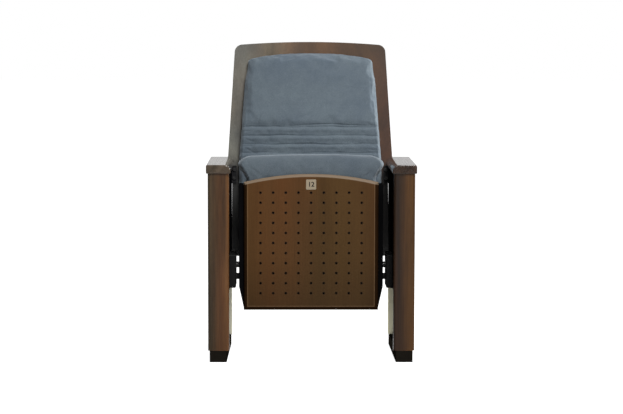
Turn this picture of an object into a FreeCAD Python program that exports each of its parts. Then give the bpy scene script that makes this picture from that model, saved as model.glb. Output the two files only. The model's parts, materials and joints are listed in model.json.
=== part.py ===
import FreeCAD, Part
import math
import os

# Tip-up auditorium seat: two side standards with armrests, a seat that tips up on pivot pins,
# and a leaning moulded back. Millimetres, +Z up, the sitter faces -Y, +X is the viewer's right.
# The origin is on the floor at the centre of the four anchor holes.
# "Depth" is measured backwards from the front face of the wooden posts.

# Standards
standard_spacing = 580.0
post_width = 66.0
standard_depth = 370.0
post_top = 592.0
post_thickness = 22.0
post_edge_radius = 8.0
side_panel_thickness = 14.5
panel_edge_radius = 3.0
cover_wall = 3.0
leg_groove_height = 144.0
leg_groove_width = 3.0
leg_groove_depth = 1.5

# Feet and floor anchors
foot_height = 36.0
foot_outer_inset = 5.0
foot_inner_inset = 8.0
foot_rear_inset = 3.0
base_plate_thickness = 6.0
anchor_spacing = 240.0
anchor_hole_radius = 5.5

# Welded leg frame
tube_size = 30.0
tube_wall = 2.5
low_rail_height = 90.0
high_rail_height = 400.0
arm_plate_thickness = 4.0
hinge_plate_thickness = 6.0
hinge_plate_above = 45.0

# Armrests
arm_overhang = 5.0
arm_thickness = 27.2
arm_front_overhang = 6.0
arm_rear_overhang = 14.0
arm_inner_radius = 20.0
arm_outer_radius = 5.0
arm_under_radius = 3.0
arm_front_radius = 2.5
arm_screw_radius = 2.0
arm_screw_length = 18.0
arm_screw_spacing = 190.0

# Tip-up pivot and stop
pivot_behind_pan = 26.0
pivot_height = 292.0
pivot_pin_radius = 9.5
stop_pin_radius = 6.0
stop_sleeve_radius = 10.0
stop_distance = 37.0
seat_travel = 86.0
running_gap = 9.5

# Hinge housing
housing_proud = 19.0
housing_front = 46.0
housing_rear = 60.0
housing_above = 36.0
housing_below = 70.0
housing_edge_radius = 4.0
bush_wall = 3.5
slot_floor = 2.5
housing_screw_radius = 3.0
housing_screw_head_radius = 6.0
housing_screw_inset = 9.0

# Return spring
spring_wire_radius = 1.6
spring_mean_radius = 17.0
spring_turns = 3
spring_leg_bend = 4.0
spring_leg_depth = 3.0
collar_thickness = 4.5
collar_radius = 22.0
pin_end_clearance = 3.0

# Seat pan
pan_side_setback = 15.0
pan_depth = 100.0
pan_thickness = 12.0
pan_rear_reach = 142.0
pan_front_reach = 265.0
pan_crown = 26.0
pan_edge_radius = 11.0
hole_radius = 3.0
hole_columns = 9
hole_rows = 11
hole_side_margin = 53.5
first_row_inset = 54.5
last_row_inset = 32.5
plaque_size = 32.0
plaque_thickness = 1.2
plaque_corner_radius = 3.0
plaque_below_crown = 32.5

# Seat tray, frame and cushion
tray_depth = 38.0
tray_wall = 3.0
tray_rear_taper = 16.5
tray_taper_height = 75.0
tray_front_setback = 6.5
frame_bar = 20.0
frame_wall = 1.5
frame_front_margin = 12.0
arm_plate_width = 6.0
arm_plate_floor_gap = 3.7
felt_margin = 15.0
felt_thickness = 3.0
pan_screw_radius = 2.0
pan_screw_head_radius = 4.0
pan_screw_head_height = 2.5
pan_screw_depth = 8.0
pan_screw_inset = 9.0
pan_screws_per_side = 4
cushion_height = 100.0
nose_rise = 83.0
nose_side_reach = 5.0
nose_foot_setback = 15.5
seat_side_bulge = 5.0

# Back
back_lean = 12.5
back_setback = 30.0
shell_thickness = 12.0
shell_top_rise = 385.0
shell_bottom_drop = 330.0
shell_shoulder_reach = 14.0
shell_top_draw_in = 22.0
shell_side_clearance = 0.5
shell_shoulder_rise = -5.0
shell_shoulder_drop = 29.0
shell_crown = 12.0
shell_corner_radius = 26.0
shell_foot_radius = 20.0
shell_hollow = 5.0
back_cushion_depth = 57.0
back_cushion_top_margin = 40.0
back_cushion_arch = 30.0
back_cushion_bottom_drop = 212.0
back_cushion_top_side_margin = 40.0
back_cushion_low_side_margin = 35.5
lumbar_first = 6.5
lumbar_pitch = 28.7
lumbar_pleats = 4
lumbar_pleat_depth = 5.0
board_thickness = 10.0
board_margin = 40.0
back_bolt_radius = 3.0
back_bolt_head_radius = 8.0
back_bolt_head_height = 3.5
insert_wall = 2.0
back_bolt_side_inset = 28.0
back_bolt_heights = (-120.0, 230.0)

# Back brackets
bracket_top_drop = 3.0
bracket_plate = 5.0
bracket_ear_width = 22.0
bracket_bolt_radius = 3.0
bracket_bolt_head_radius = 5.5
bracket_bolt_head_height = 4.0

# Clearances
seat_gap = 0.3
fit_gap = 0.05
screw_gap = 0.2
panel_gap = 0.5

# Places worked out from the sizes
front = -standard_depth / 2
clear_half = (standard_spacing - post_width) / 2
outer_half = (standard_spacing + post_width) / 2
foot_inner = clear_half + foot_inner_inset
foot_rear_inner = clear_half + foot_rear_inset
foot_outer = outer_half - foot_outer_inset
foot_wall = cover_wall
panel_inner = outer_half - panel_gap - side_panel_thickness
tube_outer = panel_inner - panel_gap
tube_inner = tube_outer - tube_size
foot_centre = (tube_inner + tube_outer) / 2
cover_inner = clear_half + panel_gap
cover_front = post_thickness + seat_gap
tube_front = cover_front + cover_wall + panel_gap
tube_back = standard_depth - cover_wall - panel_gap
lower_cover_inner = tube_inner - seat_gap - cover_wall
leg_cover_front = tube_back - tube_size - panel_gap - cover_wall
cover_split = pivot_height - housing_below
arm_bottom = post_top + seat_gap
arm_top = arm_bottom + arm_thickness
pivot_y = front + pan_depth + pan_thickness + pivot_behind_pan
housing_inner = clear_half - housing_proud
plate_inner = tube_inner - hinge_plate_thickness
seat_half = housing_inner - running_gap
pin_end = panel_inner - pin_end_clearance
pan_half = seat_half - pan_side_setback
pan_y = front + pan_depth
pan_back = pan_y + pan_thickness
pan_bottom = pivot_height - pan_rear_reach
pan_corner = pivot_height + pan_front_reach
pan_top = pan_corner + pan_crown
first_row = pan_bottom + first_row_inset
last_row = pan_corner - last_row_inset
hole_half_span = pan_half - hole_side_margin
tray_y = pan_back + seat_gap
tray_rim = tray_y + tray_depth
tray_bottom = pan_bottom - seat_gap
tray_top = pan_corner - tray_front_setback
tray_taper_top = tray_bottom + tray_taper_height
arm_outer = seat_half - tray_wall - seat_gap
arm_inner = arm_outer - arm_plate_width
frame_half = arm_inner - seat_gap
frame_y = tray_rim - seat_gap - frame_bar
frame_bottom = tray_taper_top + frame_front_margin / 2
frame_top = tray_top - frame_front_margin
cushion_crown_y = tray_rim + cushion_height
nose_top = pan_corner + nose_rise
nose_half_width = seat_half + nose_side_reach
nose_foot_half = pan_half - nose_foot_setback
back_y = front + standard_depth + back_setback
shell_low_half = cover_inner - shell_side_clearance
shell_shoulder_half_width = clear_half + shell_shoulder_reach
shell_top_half_width = shell_shoulder_half_width - shell_top_draw_in
back_cushion_top_half_width = shell_top_half_width - back_cushion_top_side_margin
back_cushion_low_half_width = shell_shoulder_half_width - back_cushion_low_side_margin
board_half = back_cushion_top_half_width - board_margin


def point(x, y, z):
    return FreeCAD.Vector(x, y, z)


def block(x0, x1, y0, y1, z0, z1):
    """A box between two opposite corners."""
    return Part.makeBox(x1 - x0, y1 - y0, z1 - z0, point(x0, y0, z0))


def rod(radius, start, end):
    """A round bar from one point to another."""
    return Part.makeCylinder(radius, (end - start).Length, start, end - start)


def prism(corners, direction):
    """A straight-sided outline carried along a direction."""
    return Part.Face(Part.makePolygon(corners + corners[:1])).extrude(direction)


def rounded(shape, radius, wanted):
    """Rounds the edges that pass the given test."""
    edges = [edge for edge in shape.Edges if wanted(edge)]
    return shape.makeFillet(radius, edges)


def runs_along(edge, axis):
    """True for a straight edge along the axis "x", "y" or "z"."""
    if len(edge.Vertexes) != 2 or not isinstance(edge.Curve, Part.Line):
        return False
    span = edge.Vertexes[1].Point - edge.Vertexes[0].Point
    return abs(getattr(span, axis)) > 0.99 * span.Length


def between(edge, axis, low, high):
    """True where the whole edge lies between two planes square to the axis."""
    box = edge.BoundBox
    lowest = getattr(box, axis.upper() + "Min")
    highest = getattr(box, axis.upper() + "Max")
    return lowest > low and highest < high


def save(name, shape):
    shape.exportStep(os.path.join("parts", name + ".step"))


def save_pair(name, right_shape):
    """Saves a right-hand piece and its mirror image on the left."""
    save(name + "_right", right_shape)
    save(name + "_left", right_shape.mirror(point(0, 0, 0), point(1, 0, 0)))


def mirrored_group(right_shapes):
    """The given right-hand solids and their mirror images, as one group."""
    left_shapes = [shape.mirror(point(0, 0, 0), point(1, 0, 0)) for shape in right_shapes]
    return Part.makeCompound(list(right_shapes) + left_shapes)


# Side standards, drawn for the right-hand side

def anchor_ys():
    return (-anchor_spacing / 2, anchor_spacing / 2)


def base_plate():
    inset = foot_wall + seat_gap
    plate = block(foot_inner + inset, foot_outer - inset, front + inset,
                  front + standard_depth - inset, 0, base_plate_thickness)
    for y in anchor_ys():
        hole = rod(anchor_hole_radius, point(foot_centre, y, -1), point(foot_centre, y, foot_height))
        plate = plate.cut(hole)
    return plate


def foot_outline(inset, z):
    """The foot's plan, a little wider at its rear, drawn inwards by an inset."""
    y0 = front + inset
    y1 = front + standard_depth - inset
    return [point(foot_inner + inset, y0, z), point(foot_outer - inset, y0, z),
            point(foot_outer - inset, y1, z), point(foot_rear_inner + inset, y1, z)]


def foot_shroud():
    """A black cover over the base plate, open below and where the leg frame stands."""
    outside = prism(foot_outline(0, 0), point(0, 0, foot_height))
    outside = rounded(outside, foot_wall, lambda edge: runs_along(edge, "z"))
    inside = prism(foot_outline(foot_wall, -1), point(0, 0, foot_height - foot_wall + 1))
    opening = block(tube_inner - panel_gap, tube_outer + panel_gap, front + tube_front - panel_gap,
                    front + tube_back + panel_gap, 0, foot_height + 1)
    return outside.cut([inside, opening])


def square_tube(y0, z0, y1, z1):
    """A closed square tube of the leg frame between two corners in the side view."""
    outside = block(tube_inner, tube_outer, y0, y1, z0, z1)
    inside = block(tube_inner + tube_wall, tube_outer - tube_wall, y0 + tube_wall,
                   y1 - tube_wall, z0 + tube_wall, z1 - tube_wall)
    return outside.cut(inside)


def spring_start_angle():
    """The spring's frame leg sits straight above the pivot pin."""
    return math.pi / 2


def leg_frame():
    y0 = front + tube_front
    y1 = front + tube_back
    tube_top = post_top - arm_plate_thickness
    frame = square_tube(y0, base_plate_thickness, y0 + tube_size, tube_top)
    frame = frame.fuse(square_tube(y1 - tube_size, base_plate_thickness, y1, tube_top))
    for z in (low_rail_height, high_rail_height):
        frame = frame.fuse(square_tube(y0 + tube_size, z, y1 - tube_size, z + tube_size))
    arm_plate = block(tube_inner, tube_outer, y0, y1, tube_top, post_top)
    for y in arm_screw_ys():
        arm_plate = arm_plate.cut(rod(arm_screw_radius + screw_gap, point(foot_centre, y, 0),
                                      point(foot_centre, y, arm_top)))
    hinge_plate = block(plate_inner, tube_inner, y0, y1, cover_split, pivot_height + hinge_plate_above)
    bush_radius = pivot_pin_radius + bush_wall
    hinge_plate = hinge_plate.cut(pivot_rod(bush_radius + panel_gap, plate_inner - 1, tube_inner + 1))
    leg_z = spring_leg_point(tube_inner).z
    hinge_plate = hinge_plate.cut(rod(spring_wire_radius + screw_gap,
                                      point(plate_inner - 1, spring_leg_point(0).y, leg_z),
                                      point(tube_inner + 1, spring_leg_point(0).y, leg_z)))
    for y, z in housing_screw_places():
        hinge_plate = hinge_plate.cut(rod(housing_screw_radius + screw_gap,
                                          point(plate_inner - 1, y, z), point(tube_inner + 1, y, z)))
    frame = frame.fuse([arm_plate, hinge_plate]).removeSplitter()
    for z in bracket_bolt_heights():
        frame = frame.cut(rod(bracket_bolt_radius + screw_gap, point(foot_centre, y1 - tube_wall - 1, z),
                              point(foot_centre, y1 + 1, z)))
    return frame


def front_post():
    post = block(clear_half, outer_half, front, front + post_thickness, foot_height + panel_gap, post_top)
    middle = front + post_thickness / 2
    return rounded(post, post_edge_radius,
                   lambda edge: runs_along(edge, "z") and edge.BoundBox.YMax < middle)


def side_panel():
    panel = block(panel_inner, outer_half - panel_gap, front + cover_front, front + standard_depth,
                  foot_height + panel_gap, post_top)
    middle = outer_half - side_panel_thickness / 2
    return rounded(panel, panel_edge_radius,
                   lambda edge: runs_along(edge, "z") and edge.BoundBox.XMin > middle
                   and edge.BoundBox.YMin > 0)


def channel_cover(x0, y0, y1, z0, z1):
    """A cover with its face to the seat at x0 and its two sides turned outwards round the leg frame."""
    outside = block(x0, panel_inner - seat_gap, y0, y1, z0, z1)
    inside = block(x0 + cover_wall, panel_inner, y0 + cover_wall, y1 - cover_wall, z0 - 1, z1 + 1)
    return outside.cut(inside)


def leg_cover():
    """A light cover round the rear leg, grooved on three sides."""
    y0 = front + leg_cover_front
    y1 = front + standard_depth
    cover = channel_cover(cover_inner, y0, y1, foot_height + panel_gap, cover_split - panel_gap)
    rail_way = block(tube_inner - panel_gap, panel_inner, y0 - 1, y0 + cover_wall + 1,
                     low_rail_height - panel_gap, low_rail_height + tube_size + panel_gap)
    low = leg_groove_height - leg_groove_width / 2
    high = leg_groove_height + leg_groove_width / 2
    core = block(cover_inner + leg_groove_depth, panel_inner, y0 + leg_groove_depth,
                 y1 - leg_groove_depth, low, high)
    groove = block(cover_inner, panel_inner, y0, y1, low, high).cut(core)
    return cover.cut([rail_way, groove])


def lower_cover():
    """A black cover set back between the front post and the rear leg."""
    y0 = front + cover_front
    y1 = front + leg_cover_front - seat_gap
    z0 = foot_height + panel_gap
    z1 = cover_split - panel_gap
    outside = block(lower_cover_inner, panel_inner - seat_gap, y0, y1, z0, z1)
    inside = block(lower_cover_inner + cover_wall, panel_inner, y0 + cover_wall, y1 + 1, z0 - 1, z1 + 1)
    return outside.cut(inside)


def housing_block(gap):
    """The hinge housing's outline, grown by a gap, from the seat side to the hinge plate."""
    return block(housing_inner, plate_inner - seat_gap, pivot_y - housing_front - gap,
                 pivot_y + housing_rear + gap, pivot_height - housing_below - gap,
                 pivot_height + housing_above + gap)


def inner_cover():
    cover = channel_cover(cover_inner, front + cover_front, front + standard_depth, cover_split, post_top)
    cover = cover.cut(housing_block(panel_gap))
    for z in bracket_bolt_heights():
        rear = front + standard_depth
        cover = cover.cut(rod(bracket_bolt_radius + screw_gap, point(foot_centre, rear - cover_wall - 1, z),
                              point(foot_centre, rear + 1, z)))
    return cover


def arm_screw_ys():
    middle = front + (tube_front + tube_back) / 2
    return (middle - arm_screw_spacing / 2, middle + arm_screw_spacing / 2)


def armrest_cap():
    """A long cap with a large rounding on its inner upper edge."""
    x0 = clear_half - arm_overhang
    x1 = outer_half + arm_overhang
    y0 = front - arm_front_overhang
    y1 = front + standard_depth + arm_rear_overhang
    cap = block(x0, x1, y0, y1, arm_bottom, arm_top)
    middle = (x0 + x1) / 2
    cap = rounded(cap, arm_inner_radius,
                  lambda edge: runs_along(edge, "y") and edge.BoundBox.XMax < middle
                  and edge.BoundBox.ZMin > arm_bottom + 1)
    cap = rounded(cap, arm_outer_radius,
                  lambda edge: runs_along(edge, "y") and edge.BoundBox.XMin > middle
                  and edge.BoundBox.ZMin > arm_top - 1)
    cap = rounded(cap, arm_under_radius,
                  lambda edge: runs_along(edge, "y") and edge.BoundBox.ZMax < arm_bottom + 1)
    cap = rounded(cap, arm_front_radius, lambda edge: between(edge, "y", y0 - 1, y0 + 1))
    for y in arm_screw_ys():
        cap = cap.cut(rod(arm_screw_radius + screw_gap, point(foot_centre, y, arm_bottom - 1),
                          point(foot_centre, y, arm_bottom + arm_screw_length + screw_gap)))
    return cap


def armrest_screws():
    screws = []
    head_top = post_top - arm_plate_thickness - seat_gap
    for y in arm_screw_ys():
        head = rod(2 * arm_screw_radius, point(foot_centre, y, head_top - 2 * arm_screw_radius),
                   point(foot_centre, y, head_top))
        shank = rod(arm_screw_radius, point(foot_centre, y, head_top - arm_screw_radius),
                    point(foot_centre, y, arm_bottom + arm_screw_length))
        screws.append(head.fuse(shank))
    return mirrored_group(screws)


# Pivot, stop and return spring, drawn for the right-hand side

def pivot_rod(radius, x0, x1):
    """A round bar on the pivot axis."""
    return rod(radius, point(x0, pivot_y, pivot_height), point(x1, pivot_y, pivot_height))


def stop_rod(radius, x0, x1):
    """A round bar at the stop pin, straight below the pivot while the seat is tipped up."""
    z = pivot_height - stop_distance
    return rod(radius, point(x0, pivot_y, z), point(x1, pivot_y, z))


def stop_slot():
    """The curved pocket that the stop sleeve travels in as the seat tips."""
    half_width = stop_sleeve_radius + seat_gap
    x0 = housing_inner - 1
    x1 = plate_inner - seat_gap - slot_floor
    wide = pivot_rod(stop_distance + half_width, x0, x1)
    slot = wide.cut(pivot_rod(stop_distance - half_width, x0, x1))
    far = 2 * (stop_distance + half_width)
    end = math.radians(seat_travel - 90)
    sector = [point(x0, pivot_y, pivot_height), point(x0, pivot_y, pivot_height - far),
              point(x0, pivot_y + far, pivot_height - far),
              point(x0, pivot_y + far * math.cos(end), pivot_height + far * math.sin(end))]
    slot = slot.common(prism(sector, point(x1 - x0, 0, 0)))
    start_end = stop_rod(half_width, x0, x1)
    travel_end = start_end.copy()
    travel_end.rotate(point(0, pivot_y, pivot_height), point(1, 0, 0), seat_travel)
    return slot.fuse([start_end, travel_end])


def housing_screw_places():
    """Y and Z of the four screws in the housing's corners."""
    return [(y, z)
            for y in (pivot_y - housing_front + housing_screw_inset,
                      pivot_y + housing_rear - housing_screw_inset)
            for z in (pivot_height - housing_below + housing_screw_inset,
                      pivot_height + housing_above - housing_screw_inset)]


def hinge_housing():
    housing = housing_block(0)
    housing = rounded(housing, housing_edge_radius, lambda edge: edge.BoundBox.XMin < clear_half)
    housing = housing.cut(pivot_rod(pivot_pin_radius + bush_wall + fit_gap, housing_inner - 1, plate_inner))
    housing = housing.cut(stop_slot())
    for y, z in housing_screw_places():
        housing = housing.cut(rod(housing_screw_radius + screw_gap, point(housing_inner - 1, y, z),
                                  point(plate_inner, y, z)))
        depth = housing_screw_head_radius
        sink = Part.makeCone(housing_screw_head_radius + 2 * screw_gap, screw_gap, depth + screw_gap,
                             point(housing_inner, y, z), point(1, 0, 0))
        housing = housing.cut(sink)
    return housing


def hinge_bush():
    outer = pivot_pin_radius + bush_wall
    return pivot_rod(outer, housing_inner, plate_inner - seat_gap).cut(
        pivot_rod(pivot_pin_radius + fit_gap, housing_inner - 1, plate_inner))


def housing_screws():
    screws = []
    for y, z in housing_screw_places():
        head = Part.makeCone(housing_screw_head_radius, housing_screw_radius,
                             housing_screw_head_radius - housing_screw_radius,
                             point(housing_inner + screw_gap, y, z), point(1, 0, 0))
        shank = rod(housing_screw_radius, point(housing_inner + 1, y, z), point(tube_inner, y, z))
        screws.append(head.fuse(shank))
    return mirrored_group(screws)


def pivot_pin():
    return pivot_rod(pivot_pin_radius, arm_inner, pin_end)


def stop_pin():
    return stop_rod(stop_pin_radius, arm_inner, plate_inner - seat_gap - slot_floor - 1)


def stop_sleeve():
    x0 = seat_half + seat_gap
    x1 = plate_inner - seat_gap - slot_floor - 1
    return stop_rod(stop_sleeve_radius, x0, x1).cut(stop_rod(stop_pin_radius + fit_gap, x0 - 1, x1 + 1))


def helix_point(x, angle):
    return point(x, pivot_y + spring_mean_radius * math.cos(angle),
                 pivot_height + spring_mean_radius * math.sin(angle))


def around(angle):
    """The direction in which the coil runs at an angle."""
    return point(0, -math.sin(angle), math.cos(angle))


def coil_start_x():
    return tube_inner + spring_leg_bend + 1


def coil_end_x():
    return pin_end - collar_thickness - spring_leg_bend - 1


def spring_leg_point(x):
    """The centre of the spring's frame leg at a place along X."""
    angle = spring_start_angle()
    start = helix_point(x, angle)
    return start - around(angle) * spring_leg_bend


def spring_free_leg_point(x):
    """The centre of the spring's collar leg at a place along X."""
    angle = spring_start_angle() + 2 * math.pi * spring_turns
    return helix_point(x, angle) + around(angle) * spring_leg_bend


def biarc(start, start_way, end, end_way):
    """Two arcs that leave start one way and reach end another way."""
    chord = end - start
    both = start_way + end_way
    spread = 2 * (1 - start_way.dot(end_way))
    reach = (math.sqrt(chord.dot(both) ** 2 + spread * chord.dot(chord)) - chord.dot(both)) / spread
    corners = (start + start_way * reach, end - end_way * reach)
    joint = (corners[0] + corners[1]) * 0.5
    edges = []
    for first, corner, last in ((start, corners[0], joint), (joint, corners[1], end)):
        middle = (first + last) * 0.5
        cosine = (first - middle).Length / reach
        crown = middle + (corner - middle) * (cosine / (1 + cosine))
        edges.append(Part.Arc(first, crown, last).toShape())
    return edges


def coil_edges():
    """The spring's path: a leg along X, the coil in quarter turns, and a second leg."""
    start_angle = spring_start_angle()
    quarters = 4 * spring_turns
    x0 = coil_start_x()
    rise = (coil_end_x() - x0) / quarters
    slope = math.atan2(rise, spring_mean_radius * math.pi / 2)
    axis = point(1, 0, 0)
    first_leg = [spring_leg_point(tube_inner - spring_leg_depth), spring_leg_point(x0 - spring_leg_bend)]
    edges = [Part.LineSegment(first_leg[0], first_leg[1]).toShape()]
    places = [(first_leg[1], axis)]
    for quarter in range(quarters + 1):
        angle = start_angle + quarter * math.pi / 2
        way = around(angle)
        if 0 < quarter < quarters:
            way = way * math.cos(slope) + axis * math.sin(slope)
        places.append((helix_point(x0 + quarter * rise, angle), way))
    end_x = coil_end_x() + spring_leg_bend
    places.append((spring_free_leg_point(end_x), axis))
    for (here, way), (there, next_way) in zip(places, places[1:]):
        edges += biarc(here, way, there, next_way)
    leg_end = spring_free_leg_point(end_x + 1 + spring_leg_depth)
    edges.append(Part.LineSegment(spring_free_leg_point(end_x), leg_end).toShape())
    return edges


def return_spring():
    edges = coil_edges()
    start = edges[0].Vertexes[0].Point
    profile = Part.Wire(Part.makeCircle(spring_wire_radius, start, point(1, 0, 0)))
    print("spring coils: least gap", (coil_end_x() - coil_start_x()) / spring_turns - 2 * spring_wire_radius)
    return Part.Wire(edges).makePipeShell([profile], True, False)


def spring_collar():
    x0 = pin_end - collar_thickness
    collar = pivot_rod(collar_radius, x0, pin_end).cut(
        pivot_rod(pivot_pin_radius + fit_gap, x0 - 1, pin_end + 1))
    leg = rod(spring_wire_radius + screw_gap, spring_free_leg_point(x0 - 1),
              spring_free_leg_point(pin_end + 1))
    return collar.cut(leg)


# Seat

def arched_outline(half_width, z0, corner_z, crown_z, y):
    """A rectangle with an arched upper edge, in the plane at y."""
    a = point(-half_width, y, z0)
    b = point(half_width, y, z0)
    c = point(half_width, y, corner_z)
    d = point(-half_width, y, corner_z)
    top = point(0, y, crown_z)
    edges = [Part.LineSegment(a, b).toShape(), Part.LineSegment(b, c).toShape(),
             Part.Arc(c, top, d).toShape(), Part.LineSegment(d, a).toShape()]
    return Part.Face(Part.Wire(edges))


def seat_pan():
    """The perforated board under the seat, its front edges rounded over almost its whole thickness."""
    pan = arched_outline(pan_half, pan_bottom, pan_corner, pan_top, pan_y).extrude(
        point(0, pan_thickness, 0))
    pan = rounded(pan, pan_edge_radius, lambda edge: between(edge, "y", pan_y - 1, pan_y + 1))
    holes = []
    for column in range(hole_columns):
        x = hole_half_span * (2 * column / (hole_columns - 1) - 1)
        for row in range(hole_rows):
            z = first_row + (last_row - first_row) * row / (hole_rows - 1)
            holes.append(rod(hole_radius, point(x, pan_y - 1, z), point(x, pan_back + 1, z)))
    pan = pan.cut(Part.makeCompound(holes))
    for x, z in pan_screw_places():
        blind = rod(pan_screw_radius + screw_gap, point(x, pan_back - pan_screw_depth - screw_gap, z),
                    point(x, pan_back + 1, z))
        pan = pan.cut([blind, blind.mirror(point(0, 0, 0), point(1, 0, 0))])
    return pan


def plaque():
    """A plain square plaque near the arched edge."""
    half = plaque_size / 2
    z = pan_top - plaque_below_crown
    plate = block(-half, half, pan_y - fit_gap - plaque_thickness, pan_y - fit_gap, z - half, z + half)
    return rounded(plate, plaque_corner_radius, lambda edge: runs_along(edge, "y"))


def tray_outline(inset, y):
    """The tray's outline in the plane at y, narrower at its rear end, drawn inwards by an inset."""
    low_half = seat_half - tray_rear_taper - inset
    half = seat_half - inset
    right = [(low_half, tray_bottom + inset), (half, tray_taper_top), (half, tray_top - inset)]
    corners = [point(x, y, z) for x, z in right] + [point(-x, y, z) for x, z in reversed(right)]
    return corners


def felt_block(gap):
    """The felt behind the perforated part of the pan, grown by a gap."""
    half = hole_half_span + felt_margin + gap
    return block(-half, half, tray_y, tray_y + felt_thickness, first_row - felt_margin - gap,
                 last_row + felt_margin + gap)


def pan_screw_places():
    """X and Z of the screws that hold the pan, on the right-hand side."""
    x = pan_half - pan_screw_inset
    step = (frame_top - frame_bottom - 2 * frame_bar) / (pan_screws_per_side - 1)
    return [(x, frame_bottom + frame_bar + number * step) for number in range(pan_screws_per_side)]


def seat_tray():
    tray = prism(tray_outline(0, tray_y), point(0, tray_depth, 0))
    tray = tray.cut(prism(tray_outline(tray_wall, tray_y + tray_wall), point(0, tray_depth, 0)))
    tray = tray.cut(felt_block(seat_gap))
    drills = [pivot_rod(pivot_pin_radius + panel_gap, arm_inner, seat_half + 1),
              stop_rod(stop_pin_radius + panel_gap, arm_inner, seat_half + 1)]
    screw_radius = pan_screw_radius + screw_gap
    drills += [rod(screw_radius, point(x, tray_y - 1, z), point(x, tray_y + tray_wall + 1, z))
               for x, z in pan_screw_places()]
    return tray.cut(mirrored_group(drills))


def pan_screws():
    screws = []
    head_y = tray_y + tray_wall + seat_gap
    for x, z in pan_screw_places():
        head = rod(pan_screw_head_radius, point(x, head_y, z), point(x, head_y + pan_screw_head_height, z))
        shank = rod(pan_screw_radius, point(x, pan_back - pan_screw_depth, z), point(x, head_y + 1, z))
        screws.append(head.fuse(shank))
    return mirrored_group(screws)


def seat_frame():
    """A closed ring of square tube inside the tray."""
    def ring_solid(inset):
        outside = block(-frame_half + inset, frame_half - inset, frame_y + inset,
                        frame_y + frame_bar - inset, frame_bottom + inset, frame_top - inset)
        wide = frame_bar - inset
        inside = block(-frame_half + wide, frame_half - wide, frame_y - 1, frame_y + frame_bar + 1,
                       frame_bottom + wide, frame_top - wide)
        return outside.cut(inside)
    return ring_solid(0).cut(ring_solid(frame_wall))


def hinge_arm():
    """A steel plate inside the tray's side wall that holds the pivot pin and the stop pin."""
    reach = stop_distance + 2 * stop_pin_radius
    arm = block(arm_inner, arm_outer, tray_y + tray_wall + arm_plate_floor_gap, tray_rim - seat_gap,
                pivot_height - reach, pivot_height + 2 * pivot_pin_radius)
    arm = arm.cut(pivot_rod(pivot_pin_radius + fit_gap, arm_inner - 1, arm_outer + 1))
    return arm.cut(stop_rod(stop_pin_radius + fit_gap, arm_inner - 1, arm_outer + 1))


def foam_core():
    half = frame_half - frame_bar - seat_gap
    return block(-half, half, tray_y + felt_thickness + seat_gap, tray_rim,
                 frame_bottom + frame_bar + seat_gap, frame_top - frame_bar - seat_gap)


def cushion_section(z, half_width, front_half, y0, y1):
    """A level slice of the seat cushion: a flat underside, drawn-in sides and a crowned top."""
    side_y = y0 + 0.72 * (y1 - y0)
    corners = [point(-front_half, y0, z), point(front_half, y0, z)]
    shoulder = half_width - seat_side_bulge
    middle = point(half_width, y0 + 0.42 * (y1 - y0), z)
    edges = [Part.LineSegment(corners[0], corners[1]).toShape(),
             Part.Arc(corners[1], middle, point(shoulder, side_y, z)).toShape(),
             Part.Arc(point(shoulder, side_y, z), point(0, y1, z), point(-shoulder, side_y, z)).toShape(),
             Part.Arc(point(-shoulder, side_y, z), point(-middle.x, middle.y, z), corners[0]).toShape()]
    return Part.Wire(edges)


def seat_cushion():
    """The upholstered pad: narrower at its rear and full at the nose, whose sides draw in to the pan."""
    rear = tray_bottom + 4
    crown = cushion_crown_y
    waist = seat_half - 1
    nose_y = tray_y + 1
    flank = nose_half_width - 8
    foot = nose_foot_half
    slices = [
        (rear, seat_half - 30, seat_half - 42, nose_y, tray_rim + 0.30 * cushion_height),
        (rear + 8, seat_half - 20, seat_half - 32, nose_y, tray_rim + 0.55 * cushion_height),
        (rear + 30, seat_half - 10, seat_half - 22, nose_y, tray_rim + 0.80 * cushion_height),
        (tray_taper_top, seat_half - 2, seat_half - 14, nose_y, crown - 6),
        (pivot_height + 40, waist, waist - 12, nose_y, crown - 1),
        ((pivot_height + tray_top) / 2, waist, waist - 12, nose_y, crown),
        (tray_top - 40, waist, waist - 12, nose_y, crown),
        (tray_top - 12, waist - 6, waist - 18, nose_y, crown),
        (pan_corner + 5, foot + 10, foot, nose_y, crown - 2),
        (pan_corner + 20, foot + 16, foot + 5, nose_y, crown - 5),
        (nose_top - 42, foot + 28, foot + 14, nose_y + 3, crown - 11),
        (nose_top - 27, nose_half_width, foot + 25, nose_y + 7, crown - 22),
        (nose_top - 16, nose_half_width - 5, foot + 21, nose_y + 13, crown - 33),
        (nose_top - 6, flank - 11, foot + 9, nose_y + 23, crown - 48),
        (nose_top, flank - 29, foot - 5, nose_y + 34, crown - 62),
    ]
    wires = [cushion_section(z, half_width, front_half, y0, y1)
             for z, half_width, front_half, y0, y1 in slices]
    cushion = Part.makeLoft(wires, True, True)
    tray_space = block(-outer_half, outer_half, front, tray_rim + seat_gap, 0, tray_top + seat_gap)
    return cushion.cut(tray_space)


# Back, drawn upright with its front face at y = 0 and z = 0 at armrest height, then leaned

def leaned(shape):
    """Leans a piece of the back and carries it to its place."""
    placed = shape.copy()
    placed.rotate(point(0, 0, 0), point(1, 0, 0), -back_lean)
    placed.translate(point(0, back_y, arm_top))
    return placed


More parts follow.
